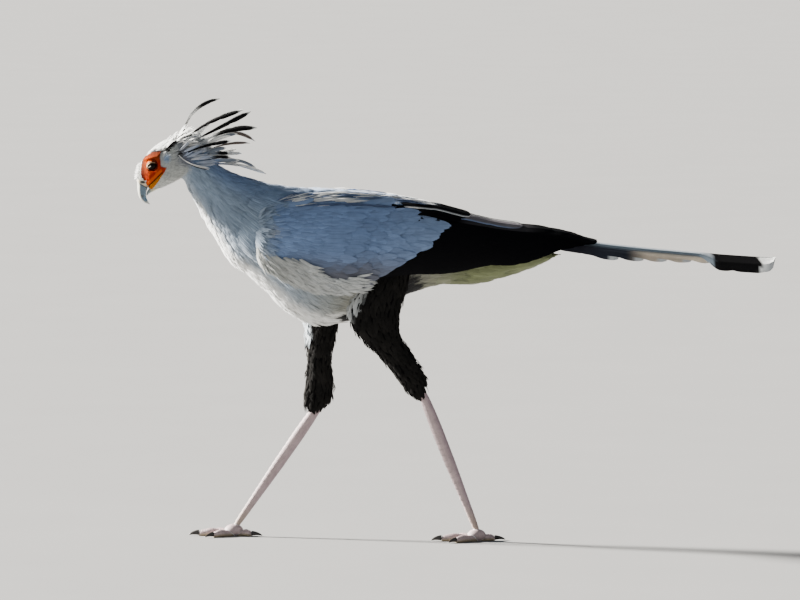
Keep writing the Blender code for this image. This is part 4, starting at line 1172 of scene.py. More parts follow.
def feather_tract(name, surface, a, b, form, marks, *, spacing, seed, width, length, lift, inset,
                  keep=everywhere, finish=plumage_finish, side=1, unrest=0.12, swing=0.0, onward=1):
    """A coat over part of a surface. A range is its first place, its last one and its steps, and a size
    or an angle is a number, or a function of both places."""
    aa, bb = np.meshgrid(np.linspace(*a), np.linspace(*b), indexing="ij")
    width, length, lift, inset, swing = (
        np.broadcast_to(setting(aa, bb) if callable(setting) else setting, aa.shape)
        for setting in (width, length, lift, inset, swing)
    )
    points, out, lie = lay(surface, aa, bb, side)
    lie = unit(lie * onward + swing[..., None] * np.cross(out, lie))
    facing, heading = lifted(out, lie, lift)
    ends = (0.02 + 0.96 * (places - places.min()) / (places.max() - places.min()) for places in (aa, bb))
    return grow_coat(
        name, points - out * inset[..., None], facing, heading, side_by_side(width, length, length),
        side_by_side(*ends, 0.0), marks(aa, bb, points), form, finish, seed, unrest,
        keep(aa, bb, points).astype(float), grid_faces(*aa.shape), spacing,
    )


print("values read at a root", *FIELDS)

# %% [markdown]
# ## Head and neck feathers
# The smallest feathers are on the head, only a few millimetres long, and they stop at the bare face's
# outline. They lengthen down the neck, where they are narrow and a little ragged. White bristles stand
# out in front of the forehead.

# %% Head and neck coat
def off_face(aa, bb, points):
    return inside_by(FACE, points[..., 0], points[..., 2]) < -0.0006


WING_OUTLINE = np.concatenate([WING[:, [0, 2]], WING[::-1][:, [3, 5]]])


def clear_of_wings(points):
    """1 where the folded wings don't cover the body."""
    x, z = points[..., 0], points[..., 2]
    return (inside_by(WING_OUTLINE, x, z) < 0.022) | (abs(points[..., 1]) < 0.025)


ALL_ROUND = (0.0, 1.0, 97)
head_coat = feather_tract(
    "head_feathers", body, (5.6, 13.6, 90), ALL_ROUND, fine_lock, body_tint, spacing=0.00165, seed=11,
    width=lambda a, b: 0.0024 + 0.0010 * smooth(9, 13, a),
    length=lambda a, b: 0.0052 + 0.0080 * smooth(8.5, 13.6, a),
    lift=0.20, inset=coat_depth, keep=off_face, unrest=0.16,
)

bristles = feather_tract(
    "forehead_bristles", body, (4.75, 6.6, 24), (-0.12, 0.12, 17), fine_lock, lambda a, b, p: WHITE,
    spacing=0.0015, seed=19, width=0.0016, length=0.0082, lift=0.95, inset=0.0005, keep=off_face,
    unrest=0.25, onward=-1,
)

neck_coat = feather_tract(
    "neck_feathers", body, (12.9, 18.0, 70), ALL_ROUND, fine_lock, body_tint, spacing=0.0030, seed=12,
    width=lambda a, b: 0.0052 + 0.002 * smooth(13, 17, a),
    length=lambda a, b: 0.0200 + 0.008 * smooth(13, 17, a),
    lift=0.19, inset=coat_depth, unrest=0.13,
)

# %% [markdown]
# ## The crest's foot
# The long plumes don't spring from a smooth head. White, black-tipped and blue-grey tufts stand up round
# their roots, longest at the back of the crown, so the crown seems to rise into the crest.

# %% Nape tufts
def near_crown_line(aa, bb, points):
    x, z = points[..., 0], points[..., 2]
    line = np.interp(x, CROWN_LINE[:, 0], CROWN_LINE[:, 1])
    return (abs(z - line) < 0.0055) & (x > -0.568) & (x < -0.532)


def plume_marks(aa, bb, points):
    pale = mix(NAPE_BLUE, PLUME_PALE, np.clip(0.40 + 0.9 * ripple(points, 420, 41), 0, 1))
    pale = mix(pale, WHITE, 0.8 * smooth(0.752, 0.768, points[..., 2]))
    return mix(pale, PLUME_DARK, 0.7 * smooth(0.34, 0.52, ripple(points, 330, 42)))


tufts = [feather_tract(
    "crown_tufts", body, (9.7, 11.9, 30), (-0.13, 0.13, 21), loose_tuft,
    lambda a, b, p: mix(WHITE, PLUME_PALE, smooth(11.0, 11.8, a)), spacing=0.0040, seed=43, width=0.0062,
    length=lambda a, b: 0.014 + 0.016 * smooth(9.7, 10.9, a),
    lift=lambda a, b: 0.35 + 0.45 * smooth(9.7, 11.2, a), inset=0.002, unrest=0.25,
)]
for name, side in SIDES.items():
    tufts.append(feather_tract(
        "crown_line_tufts_" + name, body, (9.0, 11.6, 40), half_turn(side, 0.04, 0.26, 25), loose_tuft,
        lambda a, b, p: JET, spacing=0.0026, seed=44, width=0.0045, length=0.0095, lift=0.42, inset=0.0015,
        keep=near_crown_line, finish=black_finish, unrest=0.3,
    ))
    tufts.append(feather_tract(
        "nape_plumes_" + name, body, (11.1, 13.3, 30), half_turn(side, 0.03, 0.23, 25), loose_tuft,
        plume_marks, spacing=0.0046, seed=45, width=0.0085, length=0.042, lift=0.28, inset=0.003,
        unrest=0.16, swing=-0.95 * side,
    ))

# %% [markdown]
# ## Breast, back and belly
# The breast and belly are soft and downy, so they are thousands of fine locks. The back is smooth, so it
# is of rounded vanes. Where the folded wings cover the body no feathers grow, which leaves more of
# them for what can be seen.

# %% Body coat
def front_keep(aa, bb, points):
    return clear_of_wings(points) & (np.cos(2 * np.pi * bb) < 0.62)


def back_keep(aa, bb, points):
    return (np.cos(2 * np.pi * bb) > 0.5) & (abs(points[..., 1]) < 0.075)


down_coats = [
    feather_tract(
        name, body, (first, last, 60), ALL_ROUND, fine_lock, body_tint, spacing=0.0031, seed=seed,
        width=0.0072, length=0.031, lift=0.15, inset=coat_depth, keep=front_keep, unrest=0.13,
    )
    for name, first, last, seed in (("breast_feathers", 17.2, 20.6, 13), ("belly_feathers", 20.3, 26.4, 25))
]
back_coat = feather_tract(
    "back_feathers", body, (16.6, 26.6, 90), ALL_ROUND, round_vane, body_tint, spacing=0.0064, seed=14,
    width=0.0150, length=0.030, lift=0.17, inset=0.0065, keep=back_keep, unrest=0.10,
)
under_coat = feather_tract(
    "undertail_feathers", body, (25.6, 30.4, 60), ALL_ROUND, round_vane, body_tint, spacing=0.0066,
    seed=15, width=0.0140, length=lambda a, b: 0.042 - 0.012 * smooth(28, 30.4, a), lift=0.13,
    inset=coat_depth, unrest=0.10,
)

# %% [markdown]
# ## Black thighs
# The thighs look like breeches: soft, short, black feathers down to the heel, where they end in a ragged
# cuff over the bare shank. Black hides its own form, so the tufts stand out a little more than elsewhere.

# %% Thigh coat
def thigh_marks(aa, bb, points):
    """Black, with the belly's white down hanging over the top."""
    x, z = points[..., 0], points[..., 2]
    made = mix(paint(20, 20, 20), paint(40, 38, 36), 0.5 + 0.5 * ripple(points, 120, 20))
    made = mix(made, FLANK_WHITE, (1 - past_down(points)) * smooth(0.438, 0.446, z))
    return mix(made, BREAST_WHITE, smooth(-0.282, -0.289, x) * smooth(0.386, 0.394, z))


for name, side in SIDES.items():
    made = feather_tract(
        "thigh_feathers_" + name, tube(THIGHS[name], side * HIP), (0.0, 7.75, 60), (0, 1, 49), loose_tuft,
        thigh_marks, spacing=0.0044, seed=16, width=0.0085, length=0.0185, lift=0.25, inset=THIGH_COAT,
        finish=black_finish, side=-1, unrest=0.2,
    )

# %% [markdown]
# ## Markings of the wing
# A folded wing is pale blue-grey in front and black behind, and the border between the two is a
# scalloped edge that bulges back in the middle. That edge and the line where downy flank feathers
# cover the wing are two short tables, read by how far down and how far back a feather sits.

# %% Wing markings
COVERT_EDGE = np.array([
    (0.0, 5.25), (0.15, 5.40), (0.185, 7.05), (0.31, 6.85), (0.38, 6.55), (0.52, 6.50),
    (0.63, 6.25), (0.757, 5.75), (0.87, 5.40), (0.93, 4.80), (1.0, 4.50),
])
FLANK_EDGE = np.array([
    (0.0, 0.62), (0.6, 0.72), (1.0, 0.84), (2.0, 0.78), (2.85, 0.76),
    (3.25, 0.88), (3.5, 0.92), (4.15, 0.90), (4.55, 0.95), (5.2, 1.02),
])


def wing_marks(aa, bb, points):
    """Blue-grey, paler on the leading edge, on the shoulder and near the tips of the last coverts."""
    made = mix(WING_BLUE, SIDE_GREY, smooth(1.8, 0.2, aa))
    made = mix(made, WING_PALE, 0.5 * smooth(4.0, 6.5, aa))
    made = mix(made, WING_PALE, 0.6 * smooth(0.16, 0.02, bb))
    low = smooth(0.55, 0.85, bb) * smooth(1.6, 2.8, aa) * smooth(5.4, 4.0, aa)
    made = mix(made, WING_GREY, 0.9 * low)
    shoulder = smooth(0.5, 0.1, np.hypot((aa - 1.2) / 1.6, (bb - 0.42) / 0.28))
    made = mix(made, SHOULDER_PALE, 0.55 * shoulder)
    return made * (1 + 0.10 * ripple(points, 60, 21))[..., None]


def covert_end(down):
    """How far back the coverts reach, from the wing's upper edge down."""
    return np.interp(down, COVERT_EDGE[:, 0], COVERT_EDGE[:, 1])


def shoulder_marks(aa, bb, points):
    """The neck's grey, which turns into the wing's own colour."""
    neck = mix(SIDE_GREY, BREAST_WHITE, 0.5 * smooth(0.55, 0.85, bb))
    return mix(neck, wing_marks(aa, bb, points), smooth(0.5, 1.9, aa))


def below_flank_edge(aa, bb):
    """How far below the line where downy flank feathers cover the wing, as a share of its depth."""
    return bb - np.interp(aa, FLANK_EDGE[:, 0], FLANK_EDGE[:, 1])


def on_flank(aa, bb, points):
    return smooth(-0.08, -0.01, below_flank_edge(aa, bb)) * smooth(4.55, 4.35, aa) * smooth(0.6, 0.9, aa)


def front_coverts(aa, bb, points):
    return (aa > 0.25) & (aa < covert_end(bb) - 1.1) & (below_flank_edge(aa + 0.25, bb) < -0.01)


def flank_marks(aa, bb, points):
    made = mix(BELLY_CREAM, FLANK_WHITE, 0.7 + 0.3 * smooth(1.5, 3.5, aa))
    return made * (1 + 0.08 * ripple(points, 160, 27))[..., None]


def ahead_of_wing(aa, bb, points):
    """1 on a strip of the body just in front of the wing's leading edge."""
    inside = inside_by(WING_OUTLINE, points[..., 0], points[..., 2])
    return (inside > -0.026) & (inside < 0.006) & (points[..., 0] < -0.345)


def combed(side, aa, bb):
    """The turn that lays the feathers straight back where the wing's grid fans out from its front."""
    return side * (2.4 * (0.5 - bb) + 0.30) * smooth(1.6, 0.3, aa)


print("half way down, the coverts end at place", covert_end(0.5))

# %% [markdown]
# ## Small wing feathers
# The small coverts shingle the front of the wing. Neck feathers run over its leading edge and downy
# flank feathers over its lower one, so that neither edge shows as a hard line.

# %% Small wing feathers
def small_wing_feathers(name, side):
    """A wing's small coverts, and the loose feathers over its edges."""
    face = wing_face(side)

    def swing(a, b):
        return combed(side, a, b)

    coverts = feather_tract(
        "small_coverts_" + name, face, (0.0, 5.0, 60), (0.0, 0.985, 50), round_vane, wing_marks,
        spacing=0.0042, seed=17, width=lambda a, b: 0.0085 + 0.004 * smooth(0, 3, a),
        length=lambda a, b: 0.0200 + 0.010 * smooth(0, 3, a), lift=0.13, inset=0.0040,
        keep=front_coverts, side=side, unrest=0.07, swing=swing,
    )
    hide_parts("wing_" + name)
    edges = (
        feather_tract(
            "shoulder_feathers_" + name, face, (0.0, 2.0, 30), (0.0, 0.9, 40), fine_lock, shoulder_marks,
            spacing=0.0034, seed=22, width=0.0080, length=0.028, lift=0.11, inset=0.001,
            keep=lambda a, b, p: smooth(2.0, 0.6, a) * smooth(0.15, 0.55, a), side=side, swing=swing,
        ),
        feather_tract(
            "flank_fringe_" + name, face, (0.0, 5.2, 70), (0.58, 1.0, 36), fine_lock, flank_marks,
            spacing=0.0023, seed=23, width=0.0050, length=0.028, lift=0.17, inset=-0.0010, keep=on_flank,
            side=side, unrest=0.22, swing=side * 0.20,
        ),
        feather_tract(
            "shoulder_cover_" + name, body, (16.4, 20.8, 50), half_turn(side, 0.10, 0.36, 36), fine_lock,
            body_tint, spacing=0.0034, seed=26, width=0.0085, length=0.040, lift=0.17, inset=0.0,
            keep=ahead_of_wing, unrest=0.07,
        ),
    )


print("slant of the front coverts", combed(1, 0.0, 0.0))

# %% [markdown]
# ## Large coverts
# On the real wing the large coverts stand in rows, and each row lies on the next one's roots. Scattering
# would lose those rows, so their roots are worked out one by one and given to the tree as points.

# %% Large coverts
# Each row is how far its tips stay ahead of the last row's, its feathers' length, width and number.
COVERT_ROWS = (
    (2.35, 0.056, 0.0155, 40),
    (1.85, 0.050, 0.0150, 42),
    (1.40, 0.044, 0.0145, 44),
    (0.95, 0.042, 0.0145, 44),
    (0.52, 0.046, 0.0150, 42),
    (0.18, 0.054, 0.0165, 38),
    (0.0, 0.060, 0.0180, 34),
)
# One step along the wing's sections, in metres.
PLACE_LENGTH = 0.068
COVERT_LIFT = 0.095
COVERT_LIFT_STEP = 0.011
COVERT_INSET = 0.0026
COVERT_INSET_STEP = 0.0004
# A long feather's thickness follows its length less than a short one's does.
LONG_THICK = 0.6


def covert_roots():
    """Place, level, row, length and width of each large covert that the flank feathers leave in view."""
    rng = np.random.default_rng(30)
    rows = []
    for row, (short, length, width, count) in enumerate(COVERT_ROWS):
        down = 0.012 + 0.976 * (np.arange(count) + (0.5 if row % 2 else 0.2)) / count
        tip = covert_end(down) - short + rng.normal(0, 0.03, count)
        rows.append(side_by_side(tip - length / PLACE_LENGTH, down, row, length, width))
    place, down, row, length, width = made = np.concatenate(rows).T
    tip = place + length / PLACE_LENGTH
    edge = below_flank_edge(place + 0.7 * length / PLACE_LENGTH, down)
    return made[:, edge < np.where(tip < 4.7, -0.06, 0.03)]


for name, side in SIDES.items():
    small_wing_feathers(name, side)
    aa, bb, row, length, width = covert_roots()
    points, out, lie = lay(wing_face(side), aa, bb, side)
    facing, heading = lifted(out, lie, COVERT_LIFT + COVERT_LIFT_STEP * row)
    inset = COVERT_INSET + COVERT_INSET_STEP * row
    size = side_by_side(width, length, length * LONG_THICK)
    made = grow_coat(
        "large_coverts_" + name, points - out * inset[:, None], facing, heading, size,
        side_by_side(0.05 + 0.11 * aa.clip(0, 8), off_rim(bb), 0), wing_marks(aa, bb, points),
        broad_vane, seed=18, unrest=0.03,
    )

# %% [markdown]
# ## Scapulars
# Narrow feathers lie over the line where wing and back meet, some deep blue and some white, which is
# painted sunlight on the streaks. A few dozen in five rows give the streaks that a plain colour would miss.

# %% Scapulars
# Each row is its first and last level on the wing, its first and last place, its number, and the share
# of white ones, whose white is painted sunlight on the streaks.
SCAPULARS = (
    (0.125, 0.125, 2.6, 4.9, 26, 0.10),
    (0.046, 0.046, 2.0, 5.8, 44, 0.10),
    (0.060, 0.084, 2.5, 3.3, 30, 0.97),
    (0.044, 0.094, 3.0, 4.0, 36, 0.97),
    (0.018, 0.018, 1.8, 6.2, 66, 0.85),
)
SCAPULAR_WIDTH = 0.0058
SCAPULAR_LENGTH = 0.042
SCAPULAR_RISE = 0.0012
SCAPULAR_LIFT = 0.09
WING_DEEP = paint(84, 106, 146)

for name, side in SIDES.items():
    rng = np.random.default_rng(32)
    rows = [(np.linspace(a, b, n), np.linspace(c, d, n)) for c, d, a, b, n, _ in SCAPULARS]
    aa, bb = (np.concatenate(parts) for parts in zip(*rows))
    aa = aa + rng.normal(0, 0.06, len(aa))
    bb = bb + rng.normal(0, 0.005, len(bb))
    white = np.concatenate([rng.random(n) < share for _, _, _, _, n, share in SCAPULARS])
    points, out, lie = lay(wing_face(side), aa, bb, side)
    points = points + out * SCAPULAR_RISE
    # They are turned up to the light, and stay square to their own direction.
    out = unit(out + (0, 0, 1.8))
    out = unit(out - lie * (out * lie).sum(-1, keepdims=True))
    facing, heading = lifted(out, lie, SCAPULAR_LIFT)
    length = SCAPULAR_LENGTH * rng.uniform(0.75, 1.15, len(aa))
    # White stands for the sunlit streaks: painted sunlight.
    tint = mix(WING_DEEP, WHITE, white * rng.uniform(0.88, 1.0, len(aa)))
    made = grow_coat(
        "scapulars_" + name, points, facing, heading,
        side_by_side(SCAPULAR_WIDTH, length, length * LONG_THICK),
        side_by_side(0.05 + 0.11 * aa, 0.02 + bb, 0), tint, fine_lock, seed=33, unrest=0.05,
    )

# %% [markdown]
# ## Eyelashes
# Secretary birds have long dark lashes on the upper lid, which are bare feather shafts. The same tree
# sets them, this time on a few points along the lid's rim instead of over a surface.

# %% Eyelashes
LASHES = 15
LASH_SIZE = (0.0007, 0.0068, 0.0068)
LASH_TAPER = (1.0, 0.8, 0.5, 0.1)
lash_form = feather_form("lash", [blade(1.0, 0.5, LASH_TAPER, bend=-0.25, ridge=0.6)], black_finish)
for name, side in SIDES.items():
    facing, forward, up = eye_axes(side, LID_DROP)
    turn = np.linspace(math.radians(15), math.radians(160), LASHES)
    radial = np.cos(turn)[:, None] * forward + np.sin(turn)[:, None] * up
    angle = (lid_opening(turn) + 0.05)[:, None]
    rim = np.cos(angle) * facing + np.sin(angle) * radial
    roots = EYE * (1, side, 1) + (EYE_RADIUS + LID_THICK) * rim
    heading = unit(facing * 0.75 + radial * 0.8)
    out = unit(facing - heading * (facing * heading).sum(-1, keepdims=True))
    made = grow_coat(
        "lashes_" + name, roots, -out, heading, LASH_SIZE,
        side_by_side(0.1 + 0.8 * np.arange(LASHES) / LASHES, 0.5, 0), JET, lash_form, black_finish, 46, 0.1,
    )

# %% [markdown]
# ## Flight feathers
# The long quills are few and each one shows, so every one is its own closed loft: thin at both edges,
# with a raised shaft down the middle and a few splits where its barbs have parted. They are shingled
# from the top down, as on a folded wing.

# %% Long feathers
QUILL_ACROSS = np.array([-1.0, -0.6, -0.14, 0.0, 0.14, 0.6, 1.0, 0.0])
QUILL_RISE = np.array([0.0, 0.45, 0.5, 1.1, 0.5, 0.45, 0.0, -0.45])
QUILL_SPOTS = (QUILL_ACROSS + 1) / 2
QUILL_THICK = 0.0008


def quill(centres, across, normals, widths, thick=QUILL_THICK, camber=0.08):
    """Rings of a long feather, from its middle line and its half widths on both sides."""
    shares = np.where(QUILL_ACROSS < 0, widths[:, :1], widths[:, 1:])
    sideways = QUILL_ACROSS * shares
    height = QUILL_RISE * thick - camber * np.abs(sideways) * np.abs(QUILL_ACROSS)
    return centres[:, None] + across[:, None] * sideways[..., None] + normals[:, None] * height[..., None]


def outline_of(parts, root, tip, splits, rng):
    """Half widths along a feather on both sides, as shares, with a rounded tip and a few splits."""
    body_part = root + (1 - root) * smooth(0, 0.4, parts)
    end = np.clip((parts - (1 - tip)) / tip, 0, 1)
    share = body_part * np.maximum(np.sqrt(1 - end**2), 0.03)
    both = np.stack([share, share], -1)
    for _ in range(splits):
        at, edge = rng.uniform(0.35, 0.97), rng.integers(2)
        depth = rng.uniform(0.06, 0.2)
        both[:, edge] *= 1 - depth * np.clip(1 - np.abs(parts - at) / 0.022, 0, 1)
    return both


print("points round a quill", len(QUILL_ACROSS))

# %% Flight feather shape
FLIGHT_REACH = np.array([
    9.05, 9.80, 10.2, 10.5, 10.8, 11.0, 11.0, 10.95, 10.85, 10.75,
    10.6, 10.5, 10.4, 10.25, 10.1, 10.0, 9.9, 9.7, 9.45, 9.1,
])
TIP_RISE = 0.0060
FLIGHT_ROOT = 5.0
FLIGHT_HALF_WIDTH = 0.0115
FLIGHT_STEP = 0.00035
FLIGHT_SINK = 0.006
SHINGLE = math.radians(9)
FLIGHT_BLACK = paint(4, 4, 7)
# Painted light on the black quills' tops, and a pale blue edge that is partly painted sheen.
FLIGHT_PAINTED_LIGHT = paint(108, 104, 108)
FLIGHT_EDGE_AND_SHEEN = paint(140, 160, 196)
STATIONS = np.linspace(0, 1, 44)
TOP_QUILLS = ((0.05, 7.45, 0.0120), (0.085, 7.3, 0.0120), (0.13, 7.15, 0.0110))
TOP_LIFT = 0.0090
TOP_SINK = 0.010


def wing_quill(face, side, root, tip, down, half_width, lifts, rng, splits=3):
    """A feather laid on the wing at one level, from a root place to a tip place."""
    places = root + (tip - root) * STATIONS
    points, out, lie = lay(face, places, np.full(len(STATIONS), down), side)
    fall = np.cross(lie, out)
    fall *= np.where(fall[:, 2:] > 0, -1.0, 1.0)
    across = unit(fall * math.cos(SHINGLE) + out * math.sin(SHINGLE))
    normal = np.cross(lie, across)
    normal *= np.where((normal * out).sum(-1, keepdims=True) < 0, -1.0, 1.0)
    lift = lifts[0] + (lifts[1] - lifts[0]) * np.minimum(STATIONS * 1.6, 1)
    widths = half_width * outline_of(STATIONS, 0.6, 0.10, splits, rng)
    rise = smooth(0.06, 0.17, points[:, 0]) * smooth(0.265, 0.22, points[:, 0]) * smooth(0.6, 0.1, down)
    points[:, 2] += TIP_RISE * rise
    return quill(points + out * lift[:, None], across, normal, widths)


def flight_tint(rings, row):
    """Black, but the uppermost has painted light, brown grey where its top catches the sun, a pale edge
    above and a pale blue one below that is partly painted sheen.
    """
    x = rings[..., 0]
    made = np.broadcast_to(FLIGHT_BLACK, rings.shape)
    if row < 2:
        # Painted light: brown grey where the top quills catch the sun.
        made = mix(made, FLIGHT_PAINTED_LIGHT, smooth(0.0, 0.03, x) * (1 - 0.8 * row) * smooth(0.165, 0.13, x))
    if row == 0:
        # A pale blue edge below, partly painted sheen.
        made = mix(made, FLIGHT_EDGE_AND_SHEEN, smooth(-0.01, 0.01, x) * smooth(0.15, 0.07, x) * (QUILL_ACROSS > 0.9))
        pale = smooth(0.02, 0.04, x) * smooth(0.15, 0.12, x) * (QUILL_ACROSS < -0.9)
        made = mix(made, PLUME_PALE, 0.7 * pale)
    return made


print("flight feathers", len(FLIGHT_REACH) + len(TOP_QUILLS))

# %% Flight feathers
for name, side in SIDES.items():
    face = wing_face(side)
    rng = np.random.default_rng(40)
    lofts = []
    count = len(FLIGHT_REACH)
    for row, reach in enumerate(FLIGHT_REACH):
        down = 0.05 + 0.90 * (row + 0.5) / count
        stack = FLIGHT_STEP * (count - row)
        reach = reach + rng.normal(0, 0.04)
        rings = wing_quill(
            face, side, FLIGHT_ROOT, reach, down, FLIGHT_HALF_WIDTH, (-FLIGHT_SINK, stack), rng
        )
        lofts.append((rings, QUILL_SPOTS, flight_tint(rings, row)))
    for down, reach, half_width in reversed(TOP_QUILLS):
        lifts = (-TOP_SINK, TOP_LIFT - 0.02 * down)
        rings = wing_quill(face, side, FLIGHT_ROOT, reach, down, half_width, lifts, rng, 2)
        pale = WHITE * ((QUILL_ACROSS[:, None] > 0.9) & (down < 0.06))
        lofts.append((rings, QUILL_SPOTS, np.maximum(FLIGHT_BLACK, pale)))
    made = loft_piece("flight_feathers_" + name, lofts, quill_finish, 40)
    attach(made, "root")
    print(made.name, len(lofts), "feathers")

# %% [markdown]
# ## Tail
# Six pairs of feathers lie as a low roof. The central pair is very long, grey, and ends in a black band
# and a white tip. The shorter ones step back beneath it, and each shows a beige edge and a white tip.

# %% Tail colours
TAIL_REACH = (0.624, 0.514, 0.464, 0.416, 0.370, 0.320)
TAIL_HALF_WIDTHS = (0.0240, 0.0135, 0.0132, 0.0130, 0.0130, 0.0130)
TAIL_ROOF = math.radians(38)
TAIL_START = 0.100
TAIL_TOP = np.array([(0.100, 0.604), (0.348, 0.573), (0.600, 0.5525)])
TAIL_STEP = 0.0013
TAIL_SPREAD = 0.0022
TAIL_WAIST = 0.76
TAIL_GREY = paint(126, 138, 148)
TAIL_EDGE = paint(200, 206, 212)
TAIL_BEIGE = paint(242, 224, 200)
# The wing's painted shadow on the shorter tail feathers.
TAIL_PAINTED_SHADOW = paint(60, 62, 72)
BAND = (0.505, 0.592)


def tail_top(x):
    """The height of the tail's ridge, a gentle curve through three points."""
    return np.polyval(np.polyfit(TAIL_TOP[:, 0], TAIL_TOP[:, 1], 2), x)


def tail_tint(rings, pair, reach):
    """Grey with a black band on the central pair, beige on the others with the wing's painted shadow ahead
    of it, and white at every tip.
    """
    x = rings[..., 0]
    if pair == 0:
        pale = np.broadcast_to(0.8 * (QUILL_ACROSS < -0.5), x.shape)
        made = mix(TAIL_GREY, TAIL_EDGE, pale)
        ragged = x + 0.003 * ripple(rings, 300, 31) + 0.006 * np.abs(QUILL_ACROSS)
        made = mix(made, JET, smooth(BAND[0] - 0.002, BAND[0] + 0.002, ragged))
        return mix(made, WHITE, smooth(BAND[1] - 0.002, BAND[1] + 0.002, ragged - 0.004))
    # Ahead of the beige the shorter feathers are dark: the wing's painted shadow.
    made = mix(TAIL_PAINTED_SHADOW, TAIL_BEIGE, smooth(0.33, 0.38, x))
    made = mix(made, TAIL_GREY, np.broadcast_to(0.5 * (QUILL_ACROSS < 0), x.shape))
    return mix(made, WHITE, smooth(reach - 0.026, reach - 0.018, x))


print("tail height at its start", tail_top(TAIL_START))

# %% Tail
lofts = []
rng = np.random.default_rng(50)
for side in SIDES.values():
    across = np.array([0, side * math.cos(TAIL_ROOF), -math.sin(TAIL_ROOF)])
    normal = np.array([0, side * math.sin(TAIL_ROOF), math.cos(TAIL_ROOF)])
    for pair, reach in enumerate(TAIL_REACH):
        parts = np.linspace(0, 1, 90 if pair == 0 else 60)
        x = TAIL_START + (reach - TAIL_START) * parts
        shape = outline_of(parts, 0.45, 0.05 if pair == 0 else 0.09, 5, rng)
        if pair == 0:
            waist = smooth(0.17, 0.24, x) * smooth(BAND[0] + 0.012, BAND[0] - 0.035, x)
            shape *= (1 - TAIL_WAIST * waist)[:, None]
        else:
            shape[:, 1] *= 1 - 0.45 * smooth(reach - 0.030, reach - 0.060, x)
        half_width = TAIL_HALF_WIDTHS[pair]
        steady = half_width * outline_of(parts, 0.45, 1e-6, 0, rng)[:, 0]
        out = (shape[:, 0] * half_width if pair == 0 else steady) + TAIL_SPREAD * pair * (0.4 + parts)
        ridge = np.stack([x, np.full(len(x), side * 0.0003), tail_top(x)], -1)
        centres = ridge + across * out[:, None] - normal * TAIL_STEP * pair
        sideways, upright = (np.tile(direction, (len(x), 1)) for direction in (across, normal))
        rings = quill(centres, sideways, upright, half_width * shape, camber=0.05)
        lofts.append((rings, QUILL_SPOTS, tail_tint(rings, pair, reach)))
tail = loft_piece("tail_feathers", lofts[::-1], quill_finish, 40)
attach(tail, "root")
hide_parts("tail")
print("tail feathers", len(lofts))

# %% [markdown]
# ## Crest
# About two dozen spoon-ended plumes spring from the nape and fan out, black, grey and white. Each is a
# quill again, bent through three points, and turned a little so that its face can be seen.

# %% Crest plumes
PLUME_GREY = paint(120, 128, 140)
PLUME_BROWN = paint(96, 84, 78)
PLUME_COLOURS = {
    "white": WHITE, "pale": PLUME_PALE, "grey": PLUME_GREY, "dark": PLUME_DARK, "black": JET,
    "brown": PLUME_BROWN, "blue": NAPE_BLUE, "slate": NAPE_GREY,
}
